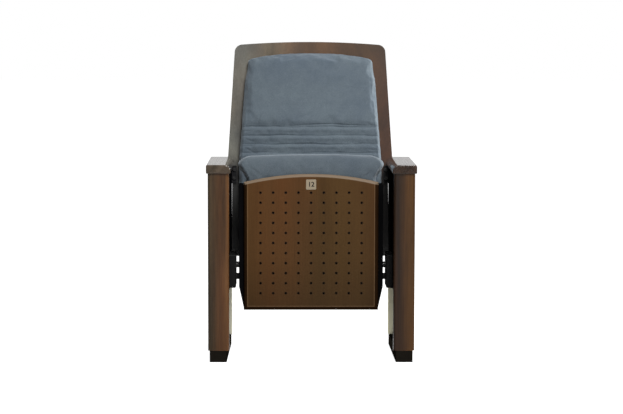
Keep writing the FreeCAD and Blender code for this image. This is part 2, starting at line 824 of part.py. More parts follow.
def shell_outline():
    """The back shell seen from the front: wide above the armrests, narrower between the standards."""
    top = shell_top_rise
    side_z = top - shell_crown
    right = [(shell_low_half, -shell_bottom_drop), (shell_low_half, -shell_shoulder_drop),
             (shell_shoulder_half_width, shell_shoulder_rise), (shell_top_half_width, side_z)]
    y = -shell_hollow - 1
    spots = [point(x, y, z) for x, z in right]
    edges = [Part.LineSegment(here, there).toShape() for here, there in zip(spots, spots[1:])]
    mirror_spots = [point(-x, y, z) for x, z in right]
    edges.append(Part.Arc(spots[-1], point(0, y, top), mirror_spots[-1]).toShape())
    edges += [Part.LineSegment(here, there).toShape()
              for here, there in zip(reversed(mirror_spots), reversed(mirror_spots[:-1]))]
    edges.append(Part.LineSegment(mirror_spots[0], spots[0]).toShape())
    face = Part.Face(Part.Wire(edges))
    solid = face.extrude(point(0, shell_hollow + shell_thickness + 2, 0))
    solid = rounded(solid, shell_corner_radius,
                    lambda edge: runs_along(edge, "y") and edge.BoundBox.ZMin > side_z - 1)
    return rounded(solid, shell_foot_radius,
                   lambda edge: runs_along(edge, "y") and edge.BoundBox.ZMax < 1 - shell_bottom_drop)


def shell_bend(thickness, offset):
    """An upright sheet, hollow towards the sitter, as thick as asked and set back by an offset."""
    half = shell_shoulder_half_width + 1
    z0 = -shell_bottom_drop - 1
    edge_y = offset - shell_hollow
    near = [point(-half, edge_y, z0), point(0, offset, z0), point(half, edge_y, z0)]
    far = [spot + point(0, thickness, 0) for spot in near]
    edges = [Part.Arc(near[0], near[1], near[2]).toShape(), Part.LineSegment(near[2], far[2]).toShape(),
             Part.Arc(far[2], far[1], far[0]).toShape(), Part.LineSegment(far[0], near[0]).toShape()]
    height = shell_bottom_drop + shell_top_rise + 2
    return Part.Face(Part.Wire(edges)).extrude(point(0, 0, height))


def back_bolt_places():
    """X and height of the bolts that hold the cushion's board to the shell, on the right."""
    return [(board_half - back_bolt_side_inset, height) for height in back_bolt_heights]


def bolt_seat_y(x):
    """How far forward the hollow sheet has come at a distance from the middle."""
    return -shell_hollow * (x / (shell_shoulder_half_width + 1)) ** 2


def bracket_span():
    """Heights of a bracket's lower and upper ends: below the lower one the ear would meet the standard."""
    lean = math.radians(back_lean)
    forward = shell_hollow + seat_gap + bracket_plate
    room = back_setback - seat_gap - forward / math.cos(lean)
    return (arm_top - room / math.tan(lean), arm_bottom - bracket_top_drop)


def bracket_bolt_heights():
    """Heights of the two bolts along a bracket, a quarter in from each end."""
    low, high = bracket_span()
    quarter = (high - low) / 4
    return (low + quarter, high - quarter)


def bracket_bolt_places():
    """X and height, up the leaned back, of the bolts between a bracket's ear and the shell."""
    x = shell_low_half - bracket_ear_width / 3
    return [(x, (z - arm_top) / math.cos(math.radians(back_lean))) for z in bracket_bolt_heights()]


def back_shell():
    shell = shell_bend(shell_thickness, 0).common(shell_outline())
    drills = [rod(back_bolt_radius + screw_gap, point(x, -shell_hollow - 2, z),
                  point(x, shell_thickness + 2, z)) for x, z in back_bolt_places()]
    drills += [rod(bracket_bolt_radius + screw_gap, point(x, -shell_hollow - 2, z),
                   point(x, shell_thickness + 2, z)) for x, z in bracket_bolt_places()]
    return leaned(shell.cut(mirrored_group(drills)))


def board_block(gap):
    """The flat board inside the back cushion, grown by a gap."""
    half = board_half + gap
    top = shell_top_rise - back_cushion_top_margin - board_margin + gap
    bottom = -back_cushion_bottom_drop + board_margin - gap
    return block(-half, half, -shell_hollow - board_thickness - gap, -shell_hollow, bottom, top)


def insert_rod(x, z, radius, start, end):
    """A bar square to the back, at the place of a back bolt."""
    return rod(radius, point(x, start, z), point(x, end, z))


def back_board():
    board = board_block(0)
    front_y = -shell_hollow - board_thickness
    holes = [insert_rod(x, z, back_bolt_radius + insert_wall + screw_gap, front_y - 1, 1)
             for x, z in back_bolt_places()]
    return leaned(board.cut(mirrored_group(holes)))


def back_inserts():
    y0 = -shell_hollow - board_thickness + 1
    y1 = -shell_hollow - seat_gap
    inserts = []
    for x, z in back_bolt_places():
        sleeve = insert_rod(x, z, back_bolt_radius + insert_wall, y0, y1)
        inserts.append(sleeve.cut(insert_rod(x, z, back_bolt_radius + screw_gap, y0 - 1, y1 + 1)))
    return leaned(mirrored_group(inserts))


def back_bolts():
    bolts = []
    for x, z in back_bolt_places():
        head_y = shell_thickness + bolt_seat_y(x) + seat_gap
        head = insert_rod(x, z, back_bolt_head_radius, head_y, head_y + back_bolt_head_height)
        head = rounded(head, back_bolt_head_height / 2,
                       lambda edge: edge.BoundBox.YMin > head_y + back_bolt_head_height / 2)
        shank = insert_rod(x, z, back_bolt_radius, 2 - shell_hollow - board_thickness, head_y + 1)
        bolts.append(head.fuse(shank))
    return leaned(mirrored_group(bolts))


def back_cushion_half_width(z):
    """The cushion widens in a straight line from its top to the armrests."""
    top = shell_top_rise - back_cushion_top_margin
    share = min(max((top - z) / top, 0), 1)
    return back_cushion_top_half_width + share * (back_cushion_low_half_width - back_cushion_top_half_width)


def back_section(z, half_width, depth):
    """A level slice of the back cushion: flat behind, drawn-in sides, crowned in front."""
    y0 = -shell_hollow - seat_gap
    side_y = y0 - 0.62 * depth
    draw_in = depth / back_cushion_depth
    shoulder = half_width - 10 * draw_in
    foot = half_width - 6 * draw_in
    side = point(half_width, y0 - 0.3 * depth, z)
    edges = [Part.LineSegment(point(-foot, y0, z), point(foot, y0, z)).toShape(),
             Part.Arc(point(foot, y0, z), side, point(shoulder, side_y, z)).toShape(),
             Part.Arc(point(shoulder, side_y, z), point(0, y0 - depth, z),
                      point(-shoulder, side_y, z)).toShape(),
             Part.Arc(point(-shoulder, side_y, z), point(-side.x, side.y, z),
                      point(-foot, y0, z)).toShape()]
    return Part.Wire(edges)


def back_cushion():
    """The back pad: arched at its top, full at the lumbar pleats and drawn in at its lower end."""
    top = shell_top_rise - back_cushion_top_margin
    bottom = -back_cushion_bottom_drop
    full = back_cushion_depth
    top_half = back_cushion_top_half_width
    slices = [(bottom, back_cushion_low_half_width - 16, 0.30 * full),
              (bottom + 8, back_cushion_low_half_width - 6, 0.62 * full),
              (bottom + 28, back_cushion_low_half_width - 1, 0.86 * full),
              (bottom / 2, back_cushion_low_half_width, full)]
    for pleat in range(lumbar_pleats + 1):
        swell = lumbar_first + (pleat - 0.5) * lumbar_pitch
        slices.append((swell, back_cushion_half_width(swell), full))
        if pleat < lumbar_pleats:
            valley = lumbar_first + pleat * lumbar_pitch
            slices.append((valley, back_cushion_half_width(valley) - 1, full - lumbar_pleat_depth))
    upper = lumbar_first + lumbar_pleats * lumbar_pitch
    slices += [(upper + 40, back_cushion_half_width(upper + 40), 0.93 * full),
               ((upper + top) / 2 + 20, back_cushion_half_width((upper + top) / 2), 0.90 * full),
               (top - 2 * back_cushion_arch, top_half + 1, 0.87 * full)]
    arch_steps = 6
    for step in range(arch_steps, 0, -1):
        angle = step / arch_steps * math.pi / 2
        slices.append((top - back_cushion_arch * (1 - math.cos(angle)), top_half * math.sin(angle),
                       0.82 * full * (0.2 + 0.8 * math.sin(angle))))
    wires = [back_section(z, half_width, depth) for z, half_width, depth in slices]
    cushion = Part.makeLoft(wires, True, True)
    return leaned(cushion.cut(board_block(seat_gap)))


# Brackets that carry the back on the standards, drawn for the right-hand side

def back_bracket():
    """A wedge behind the standard with an ear that lies on the front of the shell."""
    rear = front + standard_depth + seat_gap
    z0, z1 = bracket_span()
    lean = math.tan(math.radians(back_lean))
    front_clearance = shell_hollow + seat_gap

    def face_y(z):
        return back_y - (arm_top - z) * lean - front_clearance / math.cos(math.radians(back_lean))

    x0 = cover_inner + panel_gap
    x1 = panel_inner
    corners = [point(x0, rear, z0), point(x0, face_y(z0) + bracket_plate, z0),
               point(x0, face_y(z1) + bracket_plate, z1), point(x0, rear, z1)]
    wedge = prism(corners, point(x1 - x0, 0, 0))
    ear_x0 = shell_low_half - bracket_ear_width * 2 / 3
    ear_corners = [point(ear_x0, face_y(z0) - bracket_plate, z0), point(ear_x0, face_y(z0), z0),
                   point(ear_x0, face_y(z1), z1), point(ear_x0, face_y(z1) - bracket_plate, z1)]
    ear = prism(ear_corners, point(x0 + 1 - ear_x0, 0, 0))
    bracket = wedge.fuse(ear).removeSplitter()
    drills = [leaned(rod(bracket_bolt_radius + screw_gap, point(x, -shell_thickness - 20, z),
                         point(x, shell_thickness, z))) for x, z in bracket_bolt_places()]
    drills += [rod(bracket_bolt_radius + screw_gap, point(foot_centre, rear - 1, z),
                   point(foot_centre, rear + standard_depth, z)) for z in bracket_bolt_heights()]
    return bracket.cut(Part.makeCompound(drills))


def bracket_bolts():
    """Bolts through the ears into the shell, and through the wedges into the leg frame."""
    bolts = []
    lean = math.tan(math.radians(back_lean))
    for x, z in bracket_bolt_places():
        head_y = -shell_hollow - bracket_plate - 2 * seat_gap
        head = rod(bracket_bolt_head_radius, point(x, head_y - bracket_bolt_head_height, z),
                   point(x, head_y, z))
        shank = rod(bracket_bolt_radius, point(x, head_y - 1, z), point(x, shell_thickness / 2, z))
        bolts.append(leaned(head.fuse(shank)))
    for z in bracket_bolt_heights():
        head_y = back_y - (arm_top - z) * lean + bracket_plate
        inner_y = front + tube_back - 3 * tube_wall
        head = rod(bracket_bolt_head_radius, point(foot_centre, head_y, z),
                   point(foot_centre, head_y + bracket_bolt_head_height, z))
        shank = rod(bracket_bolt_radius, point(foot_centre, inner_y, z), point(foot_centre, head_y + 1, z))
        bolts.append(head.fuse(shank))
    return mirrored_group(bolts)


os.makedirs("parts", exist_ok=True)

for piece in (base_plate, foot_shroud, leg_frame, front_post, side_panel, leg_cover, lower_cover,
              inner_cover, armrest_cap, hinge_housing, hinge_bush, return_spring, spring_collar,
              pivot_pin, stop_pin, stop_sleeve, hinge_arm, back_bracket):
    save_pair(piece.__name__, piece())

for piece in (armrest_screws, housing_screws, seat_pan, plaque, seat_tray, pan_screws, seat_frame,
              foam_core, seat_cushion, back_shell, back_board, back_inserts, back_bolts, back_cushion,
              bracket_bolts):
    save(piece.__name__, piece())

save("acoustic_felt", felt_block(0))
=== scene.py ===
import json
import math

import bmesh
import bpy
import numpy as np
from mathutils import Euler, Matrix, Vector
from mathutils.bvhtree import BVHTree
from mathutils.kdtree import KDTree


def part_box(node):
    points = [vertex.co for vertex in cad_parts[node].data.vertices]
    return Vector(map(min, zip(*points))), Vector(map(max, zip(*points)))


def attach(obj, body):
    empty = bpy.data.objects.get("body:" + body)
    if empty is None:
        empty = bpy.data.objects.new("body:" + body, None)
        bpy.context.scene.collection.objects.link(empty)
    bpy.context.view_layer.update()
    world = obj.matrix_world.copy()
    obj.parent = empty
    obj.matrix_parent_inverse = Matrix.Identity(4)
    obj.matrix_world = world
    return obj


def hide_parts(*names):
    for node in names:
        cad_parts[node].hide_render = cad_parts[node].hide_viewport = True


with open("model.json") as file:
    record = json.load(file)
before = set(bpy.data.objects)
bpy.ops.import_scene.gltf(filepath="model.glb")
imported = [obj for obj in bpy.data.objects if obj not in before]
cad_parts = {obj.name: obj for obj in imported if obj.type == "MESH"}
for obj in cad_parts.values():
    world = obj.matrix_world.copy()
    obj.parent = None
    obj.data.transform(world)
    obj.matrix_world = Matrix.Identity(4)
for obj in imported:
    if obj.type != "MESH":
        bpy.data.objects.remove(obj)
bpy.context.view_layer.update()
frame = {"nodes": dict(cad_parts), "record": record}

nodes = frame["nodes"]
scene = bpy.context.scene

# Metres, +Z up, the sitter faces -Y.

# Camera
CAMERA_PLACE = (-0.0749, -6.4003, 1.0608)
CAMERA_YAW = math.radians(-0.682)
CAMERA_PITCH = math.radians(5.262)
CAMERA_ROLL = math.radians(-0.09)
SENSOR_WIDTH = 36.0
LENS = 115.96

# Back, drawn upright and then leaned
BACK_LEAN = math.radians(12.5)
BACK_PLACE = (0.0, 0.215, 0.6195)
BACK_TO_WORLD = Matrix.Translation(BACK_PLACE) @ Euler((-BACK_LEAN, 0.0, 0.0)).to_matrix().to_4x4()
WORLD_TO_BACK = BACK_TO_WORLD.inverted()


# Small helpers for node trees

class Tree:
    """Adds nodes to a tree and links them by their sockets' names."""

    def __init__(self, tree):
        self.tree = tree
        tree.nodes.clear()

    def add(self, kind, settings=(), **inputs):
        node = self.tree.nodes.new(kind)
        for key, value in dict(settings).items():
            setattr(node, key, value)
        for key, value in inputs.items():
            socket = node.inputs[int(key[1:])] if key[0] == "n" and key[1:].isdigit() else node.inputs[
                key.replace("_", " ")]
            if isinstance(value, bpy.types.NodeSocket):
                self.tree.links.new(value, socket)
            else:
                socket.default_value = value
        return node

    def ramp(self, fac, stops):
        node = self.add("ShaderNodeValToRGB", n0=fac)
        elements = node.color_ramp.elements
        while len(elements) < len(stops):
            elements.new(0.5)
        for element, (place, colour) in zip(elements, stops):
            element.position = place
            element.color = (*colour, 1.0)
        return node.outputs["Color"]

    def tones(self, fac, stops):
        """A ramp whose tones may pass 1: it is run below 1 and scaled up after."""
        peak = max(max(colour) for _, colour in stops)
        low = self.ramp(fac, [(place, tuple(c / peak for c in colour)) for place, colour in stops])
        return self.add("ShaderNodeVectorMath", {"operation": "SCALE"}, n0=low, Scale=peak).outputs[0]

    def spread(self, value, low, high, to_low, to_high):
        node = self.add("ShaderNodeMapRange", n0=value, n1=low, n2=high, n3=to_low, n4=to_high)
        return node.outputs[0]

    def math(self, operation, first, second=0.5):
        node = self.add("ShaderNodeMath", {"operation": operation}, n0=first, n1=second)
        return node.outputs[0]

    def mix(self, fac, first, second, blend="MIX"):
        settings = {"data_type": "RGBA", "blend_type": blend}
        node = self.add("ShaderNodeMix", settings, n0=fac, n6=first, n7=second)
        return node.outputs[2]

    def place(self, scale=(1.0, 1.0, 1.0), turn=(0.0, 0.0, 0.0)):
        """Object coordinates, turned and scaled."""
        coordinates = self.add("ShaderNodeTexCoord").outputs["Object"]
        turned = self.add("ShaderNodeMapping", Vector=coordinates, Rotation=turn)
        return self.add("ShaderNodeMapping", Vector=turned.outputs[0], Scale=scale).outputs[0]

    def noise(self, vector, scale=1.0, detail=4.0, roughness=0.5, distortion=0.0):
        return self.add("ShaderNodeTexNoise", Vector=vector, Scale=scale, Detail=detail, Roughness=roughness,
                        Distortion=distortion).outputs[0]

    def bump(self, height, strength, distance, normal=None):
        inputs = {"Height": height, "Strength": strength, "Distance": distance}
        if normal is not None:
            inputs["Normal"] = normal
        return self.add("ShaderNodeBump", **inputs).outputs[0]

    def edges(self, radius):
        """1 along convex and concave edges, falling to 0 within the radius."""
        soft = self.add("ShaderNodeBevel", {"samples": 4}, Radius=radius).outputs[0]
        sharp = self.add("ShaderNodeNewGeometry").outputs["Normal"]
        same = self.add("ShaderNodeVectorMath", {"operation": "DOT_PRODUCT"}, n0=soft, n1=sharp).outputs[1]
        return self.spread(same, 0.99, 0.80, 0.0, 1.0)

    def surface(self, **inputs):
        """A Principled shader on the output."""
        shader = self.add("ShaderNodeBsdfPrincipled", **inputs)
        self.add("ShaderNodeOutputMaterial", Surface=shader.outputs[0])
        return shader


def new_material(name):
    material = bpy.data.materials.new(name)
    material.use_nodes = True
    return material, Tree(material.node_tree)


# Materials

def wood(name, dark, middle, light, turn=(0.0, 0.0, 0.0), streak=26.0, roughness=0.3, coat=0.5,
         coat_roughness=0.15, seed=0.0, figured=0.75, edge_wear_and_highlight=0.35, shine=0.3, painted_light_drifts=(), front_only=False,
         painted_border=None):
    """Lacquered veneer with its grain along Z after the turn, paler along its edges as wear and as painted
    highlight.
    The drifts paint light and shade as changes of tone along an axis, on the front face alone if so asked.
    The painted border is the pan's painted shade and highlights."""
    material, t = new_material(name)
    base = t.add("ShaderNodeVectorMath", {"operation": "ADD"}, n0=t.place(turn=turn), n1=(seed, seed, seed))
    vector = base.outputs[0]

    def stretched(x, y, z):
        return t.add("ShaderNodeMapping", Vector=vector, Scale=(x, y, z)).outputs[0]

    bands = t.noise(stretched(streak, streak, 1.1), detail=3.0, roughness=0.55, distortion=0.6)
    fine = t.noise(stretched(260.0, 260.0, 5.0), detail=5.0, roughness=0.65)
    pores = t.noise(stretched(900.0, 900.0, 22.0), detail=2.0, roughness=0.5)
    figure = t.noise(stretched(5.0, 5.0, 0.7), detail=2.0, roughness=0.5)
    colour = t.ramp(bands, [(0.30, dark), (0.50, middle), (0.72, light)])
    streaks = t.ramp(fine, [(0.35, (0.66, 0.62, 0.58)), (0.62, (1.0, 1.0, 1.0))])
    colour = t.mix(figured, colour, streaks, "MULTIPLY")
    tint = t.ramp(figure, [(0.35, (0.84, 0.92, 0.84)), (0.5, (1.0, 1.0, 1.0)), (0.68, (1.16, 0.97, 0.84))])
    colour = t.mix(1.0, colour, tint, "MULTIPLY")
    dark_pores = t.ramp(pores, [(0.30, (0.45, 0.42, 0.40)), (0.42, (1.0, 1.0, 1.0))])
    colour = t.mix(0.8 * figured, colour, dark_pores, "MULTIPLY")
    # The edges are paler as wear and as a painted highlight.
    pale_edge = (*(min(1.0, 2.2 * c) for c in light), 1.0)
    colour = t.mix(t.math("MULTIPLY", t.edges(0.0022), edge_wear_and_highlight), colour, pale_edge)
    facing = 1.0
    if front_only:
        normal = t.add("ShaderNodeTexCoord").outputs["Normal"]
        facing = t.spread(t.add("ShaderNodeSeparateXYZ", n0=normal).outputs[1], -0.3, 0.1, 1.0, 0.0)
    # Painted light and shade: each drift changes the tone along an axis.
    for axis, low, high, tones in painted_light_drifts:
        along = t.add("ShaderNodeSeparateXYZ", n0=t.place()).outputs[axis]
        colour = t.mix(facing, colour, t.tones(t.spread(along, low, high, 0.0, 1.0), tones), "MULTIPLY")
    # The pan's painted shade and highlights, with the shine taken off under the painted shade.
    if painted_border:
        border, colour = pan_painted_light(t, colour, painted_border)
        shine = t.spread(border, 0.0, BORDER_SHADE_DEPTH, shine, 0.0)
    relief = t.math("ADD", t.math("MULTIPLY", fine, 0.5), t.math("MULTIPLY", pores, 0.5))
    t.surface(Base_Color=colour, Roughness=t.spread(fine, 0.3, 0.7, roughness + 0.08, roughness - 0.05),
              Normal=t.bump(relief, 0.30, 0.0003), Coat_Weight=coat, Coat_Roughness=coat_roughness,
              Specular_IOR_Level=shine)
    return material


def pan_painted_light(t, colour, painted_border):
    """Painted shade on the pan's rounded sides and foot with a thin painted highlight line inside it, painted
    shade round its holes and a painted highlight along the rim of its crown."""
    half, foot, width = painted_border
    x, _, z = t.add("ShaderNodeSeparateXYZ", n0=t.place()).outputs
    # Painted shade round each hole.
    colour = t.mix(hole_shade(t, x, z), colour, HOLE_SHADE_COLOUR)
    inside = t.math("MINIMUM", t.math("SUBTRACT", half, t.math("ABSOLUTE", x)), t.math("SUBTRACT", z, foot))
    border = t.spread(inside, width - BORDER_SHADE_FADE, width, BORDER_SHADE_DEPTH, 0.0)
    # A thin painted highlight just inside the painted shade.
    from_line = t.math("ABSOLUTE", t.math("SUBTRACT", inside, width + BORDER_SHADE_FADE))
    line = t.spread(from_line, 0.0004, 0.0014, HIGHLIGHT_LINE_SHARE, 0.0)
    # Painted shade on the rounded sides and foot.
    colour = t.mix(border, colour, BORDER_SHADE_COLOUR)
    colour = t.mix(line, colour, HIGHLIGHT_LINE_COLOUR)
    # A painted highlight along the rounded rim of the crown.
    across = t.math("DIVIDE", x, half)
    crown = t.math("SUBTRACT", PAN_TOP, t.math("MULTIPLY", t.math("MULTIPLY", across, across), PAN_CROWN))
    rim = t.spread(t.math("SUBTRACT", crown, z), RIM_WIDTH, RIM_WIDTH + 0.002, RIM_SHARE, 0.0)
    return border, t.mix(rim, colour, RIM_HIGHLIGHT_COLOUR)


def hole_shade(t, x, z):
    """How much painted shade lies round the pan's holes, 1 at a hole's edge."""
    def from_line(value, start, pitch):
        steps = t.math("DIVIDE", t.math("SUBTRACT", value, start), pitch)
        share = t.math("FRACT", t.math("ADD", steps, 10.5))
        return t.math("MULTIPLY", t.math("SUBTRACT", share, 0.5), pitch)

    across = from_line(x, 0.0, HOLE_PITCH_X)
    up = from_line(z, FIRST_HOLE_Z, HOLE_PITCH_Z)
    squares = t.math("ADD", t.math("MULTIPLY", across, across), t.math("MULTIPLY", up, up))
    ring = t.spread(t.math("SQRT", squares), HOLE_EDGE_INNER, HOLE_EDGE_OUTER, HOLE_EDGE_SHARE, 0.0)
    beside = t.spread(t.math("ABSOLUTE", x), FIELD_HALF, FIELD_HALF + FIELD_FADE, 1.0, 0.0)
    low = FIRST_HOLE_Z - FIELD_MARGIN
    high = LAST_HOLE_Z + FIELD_MARGIN
    ring = t.math("MULTIPLY", ring, beside)
    ring = t.math("MULTIPLY", ring, t.spread(z, low - FIELD_FADE, low, 0.0, 1.0))
    return t.math("MULTIPLY", ring, t.spread(z, high, high + FIELD_FADE, 1.0, 0.0))


def fabric(name, deep, middle, pale, thread=0.0011, sheen=0.35):
    """A close plain weave with mixed yarns and a soft nap, with painted light and shade by which way it
    faces.
    """
    material, t = new_material(name)
    vector = t.place()
    scale = 1.0 / thread / math.tau * 0.5
    waves = []
    for axis in ("X", "Y", "Z"):
        wave = t.add("ShaderNodeTexWave", {"wave_type": "BANDS", "bands_direction": axis}, Vector=vector,
                     Scale=scale, Distortion=0.6, Detail=1.0)
        waves.append(wave.outputs[1])
    weave = t.math("MULTIPLY", t.math("ADD", waves[0], waves[1]), waves[2])
    yarn = t.noise(vector, scale=700.0, detail=3.0, roughness=0.6)
    mottle = t.noise(vector, scale=38.0, detail=4.0, roughness=0.6)
    cloud = t.noise(vector, scale=6.5, detail=3.0, roughness=0.55)
    colour = t.ramp(yarn, [(0.30, deep), (0.50, middle), (0.72, pale)])
    shade = t.ramp(mottle, [(0.30, (0.90, 0.91, 0.92)), (0.70, (1.06, 1.05, 1.05))])
    colour = t.mix(1.0, colour, shade, "MULTIPLY")
    nap = t.ramp(cloud, [(0.32, (0.86, 0.88, 0.92)), (0.52, (1.0, 1.0, 1.0)), (0.70, (1.10, 1.10, 1.08))])
    colour = t.mix(1.0, colour, nap, "MULTIPLY")
    # Painted light and shade by facing: paler where the fabric faces +X, darker where it faces -X.
    sideways = t.add("ShaderNodeSeparateXYZ", n0=t.add("ShaderNodeTexCoord").outputs["Normal"]).outputs[0]
    colour = t.mix(1.0, colour, t.tones(t.spread(sideways, -1.0, 1.0, 0.0, 1.0), SIDE_LIGHT_TONES), "MULTIPLY")
    relief = t.math("ADD", t.math("MULTIPLY", weave, 0.6), t.math("MULTIPLY", yarn, 0.4))
    t.surface(Base_Color=colour, Roughness=t.spread(mottle, 0.3, 0.7, 0.80, 0.92),
              Normal=t.bump(relief, 0.30, 0.0004), Sheen_Weight=sheen, Sheen_Roughness=0.45,
              Sheen_Tint=(0.85, 0.92, 1.0, 1.0), Specular_IOR_Level=0.25)
    return material


def moulded(name, colour, roughness=0.5, grain=420.0, depth=0.00025, variation=0.12, coat=0.0, edge_wear_and_highlight=0.0,
            shine=0.22):
    """Moulded plastic, paint or rubber with a fine grain and slight mottling, paler at its edges from wear.
    """
    material, t = new_material(name)
    vector = t.place()
    texture = t.noise(vector, scale=grain, detail=3.0, roughness=0.55)
    mottle = t.noise(vector, scale=14.0, detail=3.0, roughness=0.6)
    low = tuple(c * (1.0 - variation) for c in colour)
    high = tuple(min(1.0, c * (1.0 + variation)) for c in colour)
    shade = t.ramp(mottle, [(0.32, low), (0.68, high)])
    if edge_wear_and_highlight:
        pale_edge = t.math("MULTIPLY", t.edges(0.0015), t.spread(texture, 0.4, 0.6, 0.0, edge_wear_and_highlight))
        shade = t.mix(pale_edge, shade, (*(min(1.0, 3.0 * c + 0.02) for c in colour), 1.0))
    t.surface(Base_Color=shade, Roughness=t.spread(mottle, 0.3, 0.7, roughness - 0.06, roughness + 0.08),
              Normal=t.bump(texture, 0.25, depth), Coat_Weight=coat, Coat_Roughness=0.2,
              Specular_IOR_Level=shine)
    return material


def metal(name, colour, roughness=0.35, stretch=(500.0, 40.0, 500.0), metallic=1.0):
    """Drawn or brushed metal with fine lines and dull patches."""
    material, t = new_material(name)
    lines = t.noise(t.place(scale=stretch), detail=3.0, roughness=0.6)
    patch = t.noise(t.place(), scale=30.0, detail=4.0, roughness=0.6)
    low = tuple(c * 0.72 for c in colour)
    t.surface(Base_Color=t.ramp(patch, [(0.30, low), (0.62, colour)]), Metallic=metallic,
              Roughness=t.spread(lines, 0.3, 0.7, roughness - 0.08, roughness + 0.12),
              Normal=t.bump(lines, 0.2, 0.0001))
    return material


def felt_material(name, colour):
    material, t = new_material(name)
    vector = t.place()
    fibres = t.noise(vector, scale=900.0, detail=5.0, roughness=0.7, distortion=1.2)
    mottle = t.noise(vector, scale=60.0, detail=3.0, roughness=0.6)
    low = tuple(c * 0.6 for c in colour)
    high = tuple(c * 1.5 for c in colour)
    t.surface(Base_Color=t.ramp(mottle, [(0.3, low), (0.7, high)]), Roughness=0.95,
              Normal=t.bump(fibres, 0.5, 0.0005), Sheen_Weight=0.02, Sheen_Roughness=0.6)
    return material


def foam_material(name, colour):
    material, t = new_material(name)
    vector = t.place()
    cells = t.add("ShaderNodeTexVoronoi", Vector=vector, Scale=700.0).outputs[0]
    mottle = t.noise(vector, scale=20.0, detail=3.0, roughness=0.6)
    low = tuple(c * 0.85 for c in colour)
    t.surface(Base_Color=t.ramp(mottle, [(0.3, low), (0.7, colour)]), Roughness=0.9,
              Normal=t.bump(cells, 0.5, 0.0006), Subsurface_Weight=0.05)
    return material


# Pan: outline, painted shade on its border with a painted highlight line, and a painted highlight on its rim
PAN_TOP = 0.583
PAN_CROWN = 0.026
PAN_HALF = 0.2135
PAN_FOOT = 0.150
BORDER_WIDTH = 0.0115
BORDER_SHADE_COLOUR = (0.016, 0.008, 0.004, 1.0)
BORDER_SHADE_DEPTH = 0.88
BORDER_SHADE_FADE = 0.0012
HIGHLIGHT_LINE_COLOUR = (0.24, 0.15, 0.08, 1.0)
HIGHLIGHT_LINE_SHARE = 0.45
RIM_HIGHLIGHT_COLOUR = (0.21, 0.155, 0.105, 1.0)
RIM_WIDTH = 0.0075
RIM_SHARE = 0.85
# Pan: holes, the painted shade round their edges and the field that they fill
HOLE_PITCH_X = 0.040
HOLE_PITCH_Z = 0.032
FIRST_HOLE_Z = 0.2045
LAST_HOLE_Z = 0.5245
HOLE_SHADE_COLOUR = (0.004, 0.0025, 0.0015, 1.0)
HOLE_EDGE_INNER = 0.0036
HOLE_EDGE_OUTER = 0.0050
HOLE_EDGE_SHARE = 0.9
FIELD_HALF = 0.170
FIELD_MARGIN = 0.010
FIELD_FADE = 0.002

# Posts and shell: where their painted light and shade lie
POST_INNER = 0.257
POST_OUTER = 0.323
SHELL_HALF = 0.270
# Below this height the shell's front is darkened as painted shade behind the seat; above the next it is
# clear.
SHELL_DARK_BELOW = 0.56
SHELL_CLEAR_ABOVE = 0.63

SHELL_LEAN = (-BACK_LEAN, 0.0, 0.0)
# Painted light across each post's front: darker at its left edge, brighter at its right.
LEFT_POST_LIGHT_TONES = [(0.0, (0.63, 0.82, 1.0)), (0.35, (1.05, 0.92, 0.78)), (0.6, (1.32, 0.93, 0.65)),
                   (0.85, (2.0, 1.5, 1.0)), (1.0, (1.7, 1.3, 0.9))]
RIGHT_POST_LIGHT_TONES = [(0.0, (0.36, 0.26, 0.17)), (0.15, (0.42, 0.29, 0.18)), (0.5, (1.04, 0.75, 0.40)),
                    (0.85, (1.65, 1.18, 0.38)), (1.0, (1.5, 1.05, 0.38))]
# Painted reflection and shade across the shell's front: greyer and paler toward its left border, darker
# toward its right.
SHELL_LIGHT_TONES = [(0.0, (1.42, 2.8, 5.2)), (0.10, (1.40, 2.6, 4.6)), (0.28, (1.75, 2.3, 2.9)),
               (0.5, (1.3, 1.38, 1.15)), (0.72, (0.84, 0.70, 0.40)), (1.0, (0.60, 0.50, 0.48))]
# Painted light and shade on the fabric by the x of its normal.
SIDE_LIGHT_TONES = [(0.0, (0.80, 0.80, 0.80)), (0.30, (0.90, 0.90, 0.90)), (0.42, (1.0, 1.0, 1.0)),
              (0.68, (1.0, 1.0, 1.0)), (0.90, (1.55, 1.53, 1.48)), (1.0, (1.7, 1.66, 1.6))]
# Painted shade on the shell's front below the armrests, behind the seat.
SHELL_SHADE_TONES = [(0.0, (0.06, 0.06, 0.06)), (1.0, (1.0, 1.0, 1.0))]
# Painted shade on the pan: darker toward its foot, with a slight change of tone from left to right.
PAN_SHADE_TONES = [(0.0, (0.62, 0.62, 0.54)), (0.4, (0.96, 0.92, 0.83)), (1.0, (1.02, 0.94, 0.84))]
PAN_SIDE_LIGHT_TONES = [(0.0, (0.80, 0.95, 0.95)), (0.25, (1.0, 1.0, 1.0)), (0.75, (1.0, 1.0, 1.0)),
                  (1.0, (0.88, 0.80, 0.78))]

POST_FINISH = {"roughness": 0.40, "coat": 0.12, "coat_roughness": 0.25}
CAP_FINISH = {"turn": (math.radians(90.0), 0.0, 0.0), "streak": 30.0, "roughness": 0.25, "coat": 0.9,
              "coat_roughness": 0.05}

